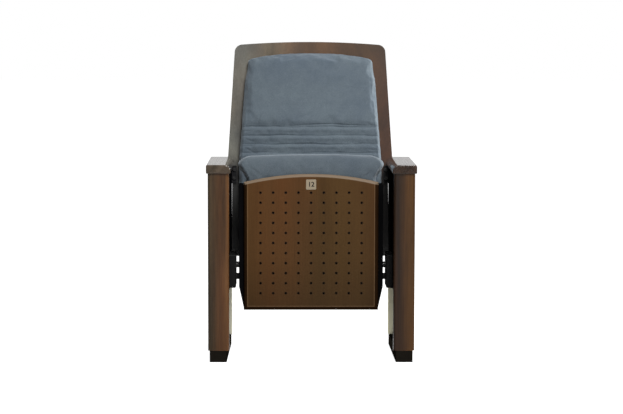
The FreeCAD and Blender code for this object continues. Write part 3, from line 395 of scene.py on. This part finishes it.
materials = {
    "walnut": wood("walnut", (0.030, 0.014, 0.0060), (0.066, 0.031, 0.0125), (0.112, 0.054, 0.021),
                   **POST_FINISH),
    # The posts take lit and shaded copies of walnut, with painted light across their fronts.
    "walnut_left": wood("walnut_left", (0.034, 0.018, 0.0085), (0.080, 0.042, 0.020), (0.125, 0.064, 0.030),
                        seed=1.7, painted_light_drifts=((0, -POST_OUTER, -POST_INNER, LEFT_POST_LIGHT_TONES),), **POST_FINISH),
    "walnut_right": wood("walnut_right", (0.030, 0.016, 0.0070), (0.068, 0.035, 0.015), (0.112, 0.056, 0.023),
                         seed=4.9, painted_light_drifts=((0, POST_INNER, POST_OUTER, RIGHT_POST_LIGHT_TONES),), **POST_FINISH),
    "pan_walnut": wood("pan_walnut", (0.078, 0.037, 0.0115), (0.090, 0.043, 0.0135), (0.102, 0.050, 0.0165),
                       streak=10.0, roughness=0.50, coat=0.0, coat_roughness=0.35, seed=3.1, figured=0.30,
                       edge_wear_and_highlight=0.6, shine=0.15, painted_border=(PAN_HALF, PAN_FOOT, BORDER_WIDTH),
                       painted_light_drifts=((2, 0.15, 0.58, PAN_SHADE_TONES), (0, -0.2, 0.2, PAN_SIDE_LIGHT_TONES))),
    "shell_walnut": wood("shell_walnut", (0.052, 0.028, 0.014), (0.085, 0.044, 0.021), (0.125, 0.064, 0.029),
                         turn=SHELL_LEAN, streak=12.0, roughness=0.42, coat=0.5, coat_roughness=0.08,
                         seed=7.7, figured=0.5, edge_wear_and_highlight=0.0, shine=0.25, front_only=True,
                         painted_light_drifts=((0, -SHELL_HALF, SHELL_HALF, SHELL_LIGHT_TONES),
                                 (2, SHELL_DARK_BELOW, SHELL_CLEAR_ABOVE, SHELL_SHADE_TONES))),
    # Lit and shaded copies of the cap finish: the left cap paler and greyer as painted reflection, the right
    # darker as painted shade.
    "cap_left": wood("cap_left", (0.045, 0.034, 0.020), (0.085, 0.062, 0.042), (0.130, 0.100, 0.072),
                     seed=2.3, **CAP_FINISH),
    "cap_right": wood("cap_right", (0.020, 0.0095, 0.0055), (0.040, 0.020, 0.0115), (0.065, 0.034, 0.020),
                      seed=6.1, **CAP_FINISH),
    "seat_fabric": fabric("seat_fabric", (0.070, 0.092, 0.110), (0.108, 0.137, 0.161), (0.156, 0.187, 0.213)),
    # A darker copy of the seat fabric, painted shade for the seat cover.
    "seat_fabric_shaded": fabric("seat_fabric_shaded", (0.054, 0.071, 0.085), (0.084, 0.106, 0.124), (0.122, 0.145, 0.164)),
    "foam": foam_material("foam", (0.80, 0.76, 0.62)),
    "black_felt": felt_material("black_felt", (0.003, 0.0025, 0.002)),
    # Near black: the tray's and inner covers' own colour, made this dark also as painted shade for the gaps
    # beside the seat.
    "black_plastic": moulded("black_plastic", (0.004, 0.004, 0.0045), roughness=0.7, edge_wear_and_highlight=0.2, shine=0.0),
    "black_nylon": moulded("black_nylon", (0.007, 0.007, 0.0072), roughness=0.5, edge_wear_and_highlight=0.3, shine=0.13),
    "nylon": moulded("nylon", (0.66, 0.64, 0.58), roughness=0.4),
    "light_grey_plastic": moulded("light_grey_plastic", (0.84, 0.80, 0.58), roughness=0.42, variation=0.06),
    # A paler copy of the leg cover plastic for the left strip, painted light.
    "strip_left_lit": moulded("strip_left_lit", (0.97, 0.94, 0.74), roughness=0.42, variation=0.03),
    "light_plaque": moulded("light_plaque", (0.30, 0.245, 0.17), roughness=0.32, variation=0.06, coat=0.4),
    "birch_board": wood("birch_board", (0.42, 0.28, 0.15), (0.55, 0.39, 0.23), (0.66, 0.50, 0.32),
                        turn=SHELL_LEAN, roughness=0.6, coat=0.0, seed=11.0),
    "black_steel": moulded("black_steel", (0.009, 0.009, 0.010), roughness=0.5, grain=900.0, edge_wear_and_highlight=0.3,
                           shine=0.08),
    "black_foot_paint": moulded("black_foot_paint", (0.0125, 0.0107, 0.0083), roughness=0.5, grain=800.0,
                                edge_wear_and_highlight=0.2, shine=0.0),
    "grey_steel": moulded("grey_steel", (0.20, 0.20, 0.19), roughness=0.42, grain=900.0, edge_wear_and_highlight=0.4),
    # Near black instead of the frames' grey steel, painted shade for the gaps beside the seat.
    "frame_steel_shaded": moulded("frame_steel_shaded", (0.010, 0.010, 0.010), roughness=0.6, grain=900.0, shine=0.0),
    "zinc_steel": metal("zinc_steel", (0.60, 0.60, 0.57)),
    "zinc_screws": metal("zinc_screws", (0.66, 0.65, 0.62), roughness=0.28),
    "black_bolts": metal("black_bolts", (0.035, 0.035, 0.035), roughness=0.35),
    "black_pin_steel": metal("black_pin_steel", (0.05, 0.05, 0.05), roughness=0.3),
    "spring_steel": metal("spring_steel", (0.42, 0.42, 0.42), roughness=0.25),
    "black_rubber": moulded("black_rubber", (0.016, 0.016, 0.016), roughness=0.8, grain=300.0),
}
# Overrides: the pan, shell, posts, caps and left strip take copies with painted light and shade, the leg
# frames a painted shade colour.
NODE_MATERIALS = {"seat_pan": "pan_walnut", "back_shell": "shell_walnut", "front_post_left": "walnut_left",
                  "front_post_right": "walnut_right", "armrest_cap_left": "cap_left",
                  "armrest_cap_right": "cap_right", "leg_cover_left": "strip_left_lit",
                  "leg_frame_left": "frame_steel_shaded", "leg_frame_right": "frame_steel_shaded"}


def dress_cad_nodes():
    """Gives every carried node its detailed material, by its slot in the record."""
    slots = {row["node"]: row["material_slot"] for row in frame["record"]["subparts"]}
    for name, node in nodes.items():
        material = materials[NODE_MATERIALS.get(name, slots[name])]
        node.data.materials.clear()
        node.data.materials.append(material)


# Soft pieces

def merged_mesh(name, source):
    """A copy of a node's mesh with its split edges joined."""
    mesh = source.data.copy()
    mesh.name = name
    form = bmesh.new()
    form.from_mesh(mesh)
    bmesh.ops.remove_doubles(form, verts=form.verts, dist=0.00002)
    form.to_mesh(mesh)
    form.free()
    mesh.materials.clear()
    return mesh


def add_object(name, mesh):
    piece = bpy.data.objects.new(name, mesh)
    scene.collection.objects.link(piece)
    return piece


def apply_modifiers(piece):
    graph = bpy.context.evaluated_depsgraph_get()
    mesh = bpy.data.meshes.new_from_object(piece.evaluated_get(graph), depsgraph=graph)
    piece.modifiers.clear()
    old = piece.data
    name = old.name
    piece.data = mesh
    bpy.data.meshes.remove(old)
    mesh.name = name


def coordinates(mesh):
    flat = np.empty(len(mesh.vertices) * 3, np.float64)
    mesh.vertices.foreach_get("co", flat)
    return flat.reshape(-1, 3)


def set_coordinates(mesh, places):
    mesh.vertices.foreach_set("co", places.ravel())
    mesh.update()


def vertex_normals(mesh):
    flat = np.empty(len(mesh.vertices) * 3, np.float32)
    mesh.vertex_normals.foreach_get("vector", flat)
    return flat.reshape(-1, 3).astype(np.float64)


def inflate(piece, pressure, frames, cap, held):
    """Swells the piece as sewn cloth round its filling. Held points stay, and others move no further than
    the cap."""
    start = coordinates(piece.data)
    group = piece.vertex_groups.new(name="held")
    group.add([int(index) for index in np.flatnonzero(held)], 1.0, "REPLACE")
    cloth = piece.modifiers.new("swell", "CLOTH")
    settings = cloth.settings
    settings.quality = 3
    settings.mass = 0.3
    settings.tension_stiffness = 25.0
    settings.compression_stiffness = 25.0
    settings.shear_stiffness = 12.0
    settings.bending_stiffness = 2.0
    settings.shrink_min = -0.015
    settings.vertex_group_mass = "held"
    settings.use_pressure = True
    settings.uniform_pressure_force = pressure
    settings.effector_weights.gravity = 0.0
    cloth.point_cache.frame_start = 1
    cloth.point_cache.frame_end = frames
    for step in range(1, frames + 1):
        scene.frame_set(step)
    apply_modifiers(piece)
    piece.vertex_groups.clear()
    scene.frame_set(1)
    moved = coordinates(piece.data) - start
    length = np.linalg.norm(moved, axis=1, keepdims=True)
    moved *= np.minimum(1.0, cap / np.maximum(length, 1e-9))
    set_coordinates(piece.data, start + moved)


def keep_inside(mesh, hull, stand, seated):
    """Draws points back that stand out of the solid they replace. The seated side may not stand out."""
    places = coordinates(mesh)
    for index, place in enumerate(places):
        spot, normal, _, _ = hull.find_nearest(Vector(place))
        out = (Vector(place) - spot).dot(normal)
        allowed = -0.0004 if normal.dot(seated) > 0.7 else stand
        if out > allowed:
            places[index] = spot + normal * allowed
    set_coordinates(mesh, places)


def smooth_mesh(piece, iterations, factor=0.5):
    smooth = piece.modifiers.new("smooth", "SMOOTH")
    smooth.iterations = iterations
    smooth.factor = factor
    apply_modifiers(piece)


def soft_piece(name, node, voxel, held, stand, seated, cloth):
    """A cushion grown from its node's solid: remeshed, swollen as cloth and held to the solid."""
    source = merged_mesh(name, nodes[node])
    hull = BVHTree.FromPolygons([v.co for v in source.vertices], [p.vertices for p in source.polygons])
    piece = add_object(name, source)
    remesh = piece.modifiers.new("remesh", "REMESH")
    remesh.mode = "VOXEL"
    remesh.voxel_size = voxel * 1.0
    apply_modifiers(piece)
    smooth_mesh(piece, 2)
    set_coordinates(piece.data, coordinates(piece.data) - SOFT_INSET * vertex_normals(piece.data))
    inflate(piece, SOFT_PRESSURE, SOFT_FRAMES, SOFT_CAP, held(coordinates(piece.data)))
    keep_inside(piece.data, hull, stand, seated)
    smooth_mesh(piece, 2)
    rounder = piece.modifiers.new("rounder", "SUBSURF")
    rounder.levels = rounder.render_levels = 1
    apply_modifiers(piece)
    piece.data.materials.append(materials[cloth])
    return piece


def refine(piece, wanted):
    """Divides the mesh once more where the test on its points is true."""
    form = bmesh.new()
    form.from_mesh(piece.data)
    mask = wanted(coordinates(piece.data))
    edges = [e for e in form.edges if mask[e.verts[0].index] and mask[e.verts[1].index]]
    bmesh.ops.subdivide_edges(form, edges=edges, cuts=1, use_grid_fill=True)
    form.to_mesh(piece.data)
    form.free()
    piece.data.update()


def shade_smooth(piece):
    for polygon in piece.data.polygons:
        polygon.use_smooth = True


def bell(distance, width):
    return np.exp(-(distance / width) ** 2)


def to_local(places, matrix):
    turned = np.array(matrix.to_3x3())
    return places @ turned.T + np.array(matrix.translation)


def distance_to_lines(places, lines):
    """How far each point lies from the nearest of some lines given as closely spaced points."""
    spots = np.concatenate([dense(line) for line in lines])
    tree = KDTree(len(spots))
    for index, spot in enumerate(spots):
        tree.insert(spot, index)
    tree.balance()
    return np.array([tree.find(place)[2] for place in places])


def dense(line, step=0.0008):
    """A line's points filled in at a small step."""
    line = np.asarray(line, float)
    runs = []
    for here, there in zip(line, line[1:]):
        count = max(1, int(np.linalg.norm(there - here) / step))
        shares = np.arange(count)[:, None] / count
        runs.append(here + (there - here) * shares)
    return np.concatenate(runs + [line[-1:]])


# Cushions: remeshed size, starting inset, cloth pressure, frames and furthest movement
SOFT_INSET = 0.0015
SOFT_PRESSURE = 3.0
SOFT_FRAMES = 16
SOFT_CAP = 0.006

# Back cushion, measured up the leaned back
BACK_FRONT = -0.0053
BACK_DEPTH = 0.057
BACK_TOP = 0.345
BACK_BOTTOM = -0.212
BACK_ARCH = 0.030
BACK_LOW_HALF = 0.2355
BACK_TOP_HALF = 0.209
PLEATS = (0.0065, 0.0352, 0.0639, 0.0926)
PLEAT_DEPTHS = (0.0024, 0.0036, 0.0033, 0.0027)
PLEAT_WIDTH = 0.0026
PLEAT_SAG = 0.0035
SEAM_DEPTH = 0.0018
SEAM_WIDTH = 0.0016
# Small creases: across, up, length, tilt in degrees and depth
BACK_CREASES = (
    (-0.052, 0.205, 0.022, 70.0, 0.0010), (0.012, 0.168, 0.030, 96.0, 0.0009),
    (0.036, 0.152, 0.026, 84.0, 0.0010), (0.050, 0.158, 0.020, 100.0, 0.0008),
    (-0.028, 0.178, 0.016, 25.0, 0.0008), (0.014, 0.268, 0.030, 92.0, 0.0008),
    (-0.010, 0.128, 0.036, 38.0, 0.0009), (0.052, 0.236, 0.040, 88.0, 0.0007),
    (-0.168, 0.118, 0.028, 82.0, 0.0010), (0.120, 0.222, 0.034, 4.0, 0.0007),
    (-0.205, 0.028, 0.040, 12.0, 0.0016), (-0.208, 0.050, 0.034, -10.0, 0.0014),
    (-0.212, 0.078, 0.030, 14.0, 0.0014), (0.196, 0.100, 0.034, -8.0, 0.0012),
    (0.204, 0.016, 0.032, 10.0, 0.0013), (-0.196, 0.012, 0.046, -16.0, 0.0014),
)


def back_half_width(height):
    share = np.clip((BACK_TOP - height) / BACK_TOP, 0.0, 1.0)
    return BACK_TOP_HALF + share * (BACK_LOW_HALF - BACK_TOP_HALF)


def back_seam_lines():
    """The seams between the front panel and the sides, over the arched top, as one line."""
    right = []
    for height in np.linspace(BACK_BOTTOM + 0.03, BACK_TOP - BACK_ARCH, 40):
        depth = BACK_DEPTH * (1.0 if height < 0.12 else 1.0 - 0.13 * (height - 0.12) / 0.195)
        draw_in = depth / BACK_DEPTH
        right.append((back_half_width(height) - 0.010 * draw_in, BACK_FRONT - 0.62 * depth, height))
    for angle in np.linspace(0.5 * math.pi, 0.05 * math.pi, 24):
        depth = 0.82 * BACK_DEPTH * (0.2 + 0.8 * math.sin(angle))
        height = BACK_TOP - BACK_ARCH * (1.0 - math.cos(angle))
        right.append((BACK_TOP_HALF * math.sin(angle) - 0.010 * depth / BACK_DEPTH,
                      BACK_FRONT - 0.62 * depth, height))
    left = [(-x, y, z) for x, y, z in reversed(right)]
    return [right + left]


def crease_depth(x, z, creases):
    """Short soft dents, each a bell across its line that fades towards its ends."""
    sink = np.zeros(len(x))
    for across, up, length, tilt, depth in creases:
        way = (math.cos(math.radians(tilt)), math.sin(math.radians(tilt)))
        along = (x - across) * way[0] + (z - up) * way[1]
        aside = (z - up) * way[0] - (x - across) * way[1]
        aside += 0.004 * np.sin(along * 60.0)
        sink += depth * bell(along, length / 2) * (bell(aside, 0.0035) - 0.35 * bell(aside - 0.007, 0.005))
    return sink


def pleat_line(x, number):
    """The height of a pleat's stitching, sagging between the sides."""
    half = back_half_width(PLEATS[number])
    wave = 0.0010 * np.sin(x * 31.0 + number * 2.1) + 0.0006 * np.sin(x * 73.0 + number)
    return PLEATS[number] - PLEAT_SAG * (1.0 - (x / half) ** 2) + wave


def make_back_cushion():
    toward_shell = (BACK_TO_WORLD.to_3x3() @ Vector((0.0, 1.0, 0.0))).normalized()

    def held(places):
        x, y, z = to_local(places, WORLD_TO_BACK).T
        stitched = np.zeros(len(x), bool)
        for number in range(len(PLEATS)):
            stitched |= np.abs(z - pleat_line(x, number)) < 0.003
        stitched &= y < BACK_FRONT - 0.5 * BACK_DEPTH
        return stitched | (y > BACK_FRONT - 0.012)

    piece = soft_piece("back_cushion_cover", "back_cushion", 0.006, held, 0.0025, toward_shell, "seat_fabric")
    seams = back_seam_lines()

    def detailed(places):
        local = to_local(places, WORLD_TO_BACK)
        x, y, z = local.T
        near_seam = distance_to_lines(local, seams) < 0.007
        near_pleat = (z > PLEATS[0] - 0.012) & (z < PLEATS[-1] + 0.014) & (y < BACK_FRONT - 0.5 * BACK_DEPTH)
        return near_seam | near_pleat

    refine(piece, detailed)
    local = to_local(coordinates(piece.data), WORLD_TO_BACK)
    inward = -vertex_normals(piece.data) @ np.array(WORLD_TO_BACK.to_3x3()).T
    x, y, z = local.T
    on_face = np.clip((BACK_FRONT - 0.45 * BACK_DEPTH - y) / 0.010, 0.0, 1.0)
    sink = np.zeros(len(x))
    for number, depth in enumerate(PLEAT_DEPTHS):
        line = pleat_line(x, number)
        strength = 0.72 + 0.28 * np.sin(x * 17.0 + number * 1.7)
        sink += depth * strength * bell(z - line, PLEAT_WIDTH)
        sink -= 0.0014 * bell(z - line + 0.009, 0.006)
    second = pleat_line(x, 3) + 0.0065 + 0.0016 * np.sin(x * 24.0)
    sink += 0.0020 * bell(z - second, 0.0020) * np.clip(0.6 + 0.6 * np.sin(x * 14.0 + 0.6), 0.0, 1.0)
    sink += crease_depth(x, z, BACK_CREASES)
    sink *= on_face
    apart = distance_to_lines(local, seams)
    sink += SEAM_DEPTH * bell(apart, SEAM_WIDTH) - 0.0008 * bell(apart - 0.0042, 0.0020)
    set_coordinates(piece.data, to_local(local + inward * sink[:, None], BACK_TO_WORLD))
    shade_smooth(piece)
    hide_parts("back_cushion")
    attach(piece, "frame")


# Seat cushion: its seams run up both sides of the nose and along the crown's edges
NOSE_SEAM = ((0.198, -0.0717, 0.562), (0.203, -0.0717, 0.577), (0.212, -0.0687, 0.598),
             (0.223, -0.0647, 0.613), (0.219, -0.0587, 0.624), (0.207, -0.0487, 0.634),
             (0.193, -0.0377, 0.640))
CROWN_SEAM = ((0.2135, 0.0125, 0.1837), (0.2215, 0.0226, 0.2247), (0.2225, 0.0262, 0.332),
              (0.2225, 0.0269, 0.421), (0.2225, 0.0269, 0.510), (0.2165, 0.0269, 0.5385),
              (0.203, 0.0255, 0.562), (0.209, 0.0233, 0.577), (0.221, 0.0199, 0.598), (0.2285, 0.0131, 0.613),
              (0.2235, 0.0068, 0.624), (0.2095, -0.0012, 0.634), (0.1915, -0.0082, 0.640))
NOSE_CREASES = (
    (0.186, 0.588, 0.030, 60.0, 0.0018), (0.172, 0.578, 0.026, 40.0, 0.0014),
    (-0.176, 0.590, 0.034, -30.0, 0.0014), (-0.150, 0.596, 0.026, 80.0, 0.0010),
    (-0.120, 0.600, 0.024, 86.0, 0.0008), (0.130, 0.606, 0.030, 30.0, 0.0008),
    (-0.196, 0.612, 0.030, -50.0, 0.0012),
)


def make_seat_cushion():
    def held(places):
        return (places[:, 1] < -0.0345) & (places[:, 2] < 0.56)

    toward_tray = Vector((0.0, -1.0, 0.0))
    # The seat cover takes the darker copy of the seat fabric, painted shade.
    piece = soft_piece("seat_cushion_cover", "seat_cushion", 0.0068, held, 0.0012, toward_tray, "seat_fabric_shaded")
    seams = [[(side * x, y, z) for x, y, z in line] for line in (NOSE_SEAM, CROWN_SEAM) for side in (1, -1)]
    refine(piece, lambda places: distance_to_lines(places, seams) < 0.007)
    places = coordinates(piece.data)
    normals = vertex_normals(piece.data)
    apart = distance_to_lines(places, seams)
    sink = SEAM_DEPTH * bell(apart, SEAM_WIDTH) - 0.0008 * bell(apart - 0.0042, 0.0020)
    facing = np.clip(-normals[:, 1] * 2.0, 0.0, 1.0) * (places[:, 2] > 0.56)
    sink += facing * crease_depth(places[:, 0], places[:, 2], NOSE_CREASES)
    set_coordinates(piece.data, places - normals * sink[:, None])
    shade_smooth(piece)
    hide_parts("seat_cushion")
    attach(piece, "seat")


# Plain seat number on the plaque
NUMBER_PLACE = (0.0, -0.08625, 0.5505)
NUMBER_SIZE = 0.021


def make_plaque_number():
    text = bpy.data.curves.new("plaque_number", "FONT")
    text.body = "12"
    text.size = NUMBER_SIZE
    text.align_x = "CENTER"
    text.align_y = "CENTER"
    text.extrude = 0.00015
    text.offset = 0.0004
    maker = bpy.data.objects.new("plaque_number_curve", text)
    scene.collection.objects.link(maker)
    graph = bpy.context.evaluated_depsgraph_get()
    mesh = bpy.data.meshes.new_from_object(maker.evaluated_get(graph), depsgraph=graph)
    bpy.data.objects.remove(maker)
    upright = Euler((math.radians(90.0), 0.0, 0.0)).to_matrix().to_4x4()
    mesh.transform(Matrix.Translation(NUMBER_PLACE) @ upright)
    mesh.materials.clear()
    mesh.materials.append(materials["black_nylon"])
    piece = add_object("plaque_number", mesh)
    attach(piece, "seat")


def slab(name, low, high, steps, lift, rounding):
    """A block with rounded edges and a slightly uneven surface."""
    form = bmesh.new()
    bmesh.ops.create_cube(form, size=1.0)
    size = Vector(high) - Vector(low)
    centre = (Vector(high) + Vector(low)) / 2
    for vertex in form.verts:
        vertex.co = Vector(a * b for a, b in zip(vertex.co, size)) + centre
    bmesh.ops.bevel(form, geom=form.edges[:], offset=rounding, segments=3, affect="EDGES", profile=0.6)
    long_edges = [e for e in form.edges if e.calc_length() > 3 * rounding]
    bmesh.ops.subdivide_edges(form, edges=long_edges, cuts=steps, use_grid_fill=True)
    for vertex in form.verts:
        wave = math.sin(vertex.co.x * 97.0) * math.cos(vertex.co.z * 83.0)
        inward = (centre - vertex.co).normalized()
        vertex.co += inward * lift * (0.5 + 0.5 * wave)
    mesh = bpy.data.meshes.new(name)
    form.to_mesh(mesh)
    form.free()
    return add_object(name, mesh)


def make_foam():
    low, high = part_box("foam_core")
    piece = slab("foam_block", low, high, 14, 0.0012, 0.003)
    piece.data.materials.append(materials["foam"])
    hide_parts("foam_core")
    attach(piece, "seat")


def make_felt():
    low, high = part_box("acoustic_felt")
    piece = slab("acoustic_felt_sheet", low, high, 20, 0.0002, 0.0006)
    piece.data.materials.append(materials["black_felt"])
    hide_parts("acoustic_felt")
    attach(piece, "seat")


# Stage

def make_camera():
    data = bpy.data.cameras.new("camera")
    data.sensor_width = SENSOR_WIDTH
    data.lens = LENS
    data.clip_end = 60.0
    camera = bpy.data.objects.new("camera", data)
    camera.location = CAMERA_PLACE
    camera.rotation_euler = Euler((math.radians(90.0) - CAMERA_PITCH, CAMERA_ROLL, CAMERA_YAW), "XYZ")
    scene.collection.objects.link(camera)
    scene.camera = camera


def area_light(name, place, target, size, power, colour=(1.0, 1.0, 1.0)):
    data = bpy.data.lights.new(name, "AREA")
    data.shape = "RECTANGLE"
    data.size, data.size_y = size
    data.energy = power
    data.color = colour
    light = bpy.data.objects.new(name, data)
    light.location = place
    way = Vector(target) - Vector(place)
    light.rotation_euler = way.to_track_quat("-Z", "Y").to_euler()
    scene.collection.objects.link(light)


def seen_by_camera(t):
    return t.add("ShaderNodeLightPath").outputs["Is Camera Ray"]


def make_stage():
    floor_mesh = bpy.data.meshes.new("floor")
    corners = [(x * FLOOR_HALF, y * FLOOR_HALF, 0) for x, y in ((-1, -1), (1, -1), (1, 1), (-1, 1))]
    floor_mesh.from_pydata(corners, [], [(0, 1, 2, 3)])
    floor = add_object("floor", floor_mesh)
    material, t = new_material("floor_paint")
    speck = t.noise(t.place(), scale=3.0, detail=3.0)
    x, y, _ = t.add("ShaderNodeSeparateXYZ", n0=t.place()).outputs
    sides = t.spread(t.math("ABSOLUTE", x), *GLOW_SIDES, 1.0, 0.0)
    inner = t.spread(t.math("ABSOLUTE", x), *GLOW_MIDDLE, 0.0, FLOOR_GLOW)
    glow = t.math("MULTIPLY", t.math("MULTIPLY", sides, inner), t.spread(y, *GLOW_BACK, 1.0, 0.0))
    glow = t.math("MULTIPLY", glow, t.spread(y, *GLOW_FRONT, 0.0, 1.0))
    t.surface(Base_Color=t.ramp(speck, [(0.3, (0.40, 0.40, 0.40)), (0.7, (0.42, 0.42, 0.42))]), Roughness=0.9,
              Specular_IOR_Level=0.0, Emission_Color=(1.0, 1.0, 1.0, 1.0),
              Emission_Strength=t.math("MAXIMUM", t.math("MULTIPLY", seen_by_camera(t), FLOOR_SEEN), glow))
    floor.data.materials.append(material)

    world = bpy.data.worlds.new("studio")
    scene.world = world
    world.use_nodes = True
    t = Tree(world.node_tree)
    direction = t.add("ShaderNodeTexCoord").outputs["Generated"]
    parts = t.add("ShaderNodeSeparateXYZ", n0=direction).outputs
    behind = t.spread(parts[1], -0.35, 0.25, WORLD_FRONT, WORLD_BEHIND)
    side = t.spread(parts[0], -1.0, 1.0, -WORLD_SIDE, WORLD_SIDE)
    strength = t.math("MAXIMUM", t.math("ADD", behind, side), seen_by_camera(t))
    background = t.add("ShaderNodeBackground", Strength=strength)
    background.inputs[0].default_value = (1.0, 1.0, 1.0, 1.0)
    t.add("ShaderNodeOutputWorld", Surface=background.outputs[0])

    for light in LIGHTS:
        area_light(*light)
    scene.view_settings.view_transform = "Standard"
    scene.view_settings.look = "None"


# Floor and surroundings, as seen and as they light the object. The floor glows under each side of the seat,
# and each pair of numbers is where the glow starts to fade and where it ends, or the other way round.
FLOOR_HALF = 30.0
GLOW_MIDDLE = (0.08, 0.16)
GLOW_SIDES = (0.20, 0.26)
GLOW_FRONT = (-0.10, 0.0)
GLOW_BACK = (0.20, 0.40)
FLOOR_SEEN = 0.97
FLOOR_GLOW = 2.6
WORLD_FRONT = 0.07
WORLD_BEHIND = 0.62
WORLD_SIDE = 0.03
# Name, place, target, size and power of each soft light
LIGHTS = (
    ("key", (1.2, -3.2, 4.2), (0.0, 0.0, 0.6), (2.0, 1.8), 260.0),
    ("front", (0.5, -5.6, 1.5), (0.0, 0.0, 0.5), (1.6, 1.2), 24.0),
    ("sheen", (-1.1, -4.6, 2.75), (0.0, 0.2, 0.8), (1.6, 1.3), 9.0),
    ("edge", (2.8, 1.4, 2.2), (0.0, 0.2, 0.85), (0.9, 1.2), 95.0),
)

make_camera()
make_stage()
dress_cad_nodes()
make_back_cushion()
make_seat_cushion()
make_foam()
make_felt()
make_plaque_number()
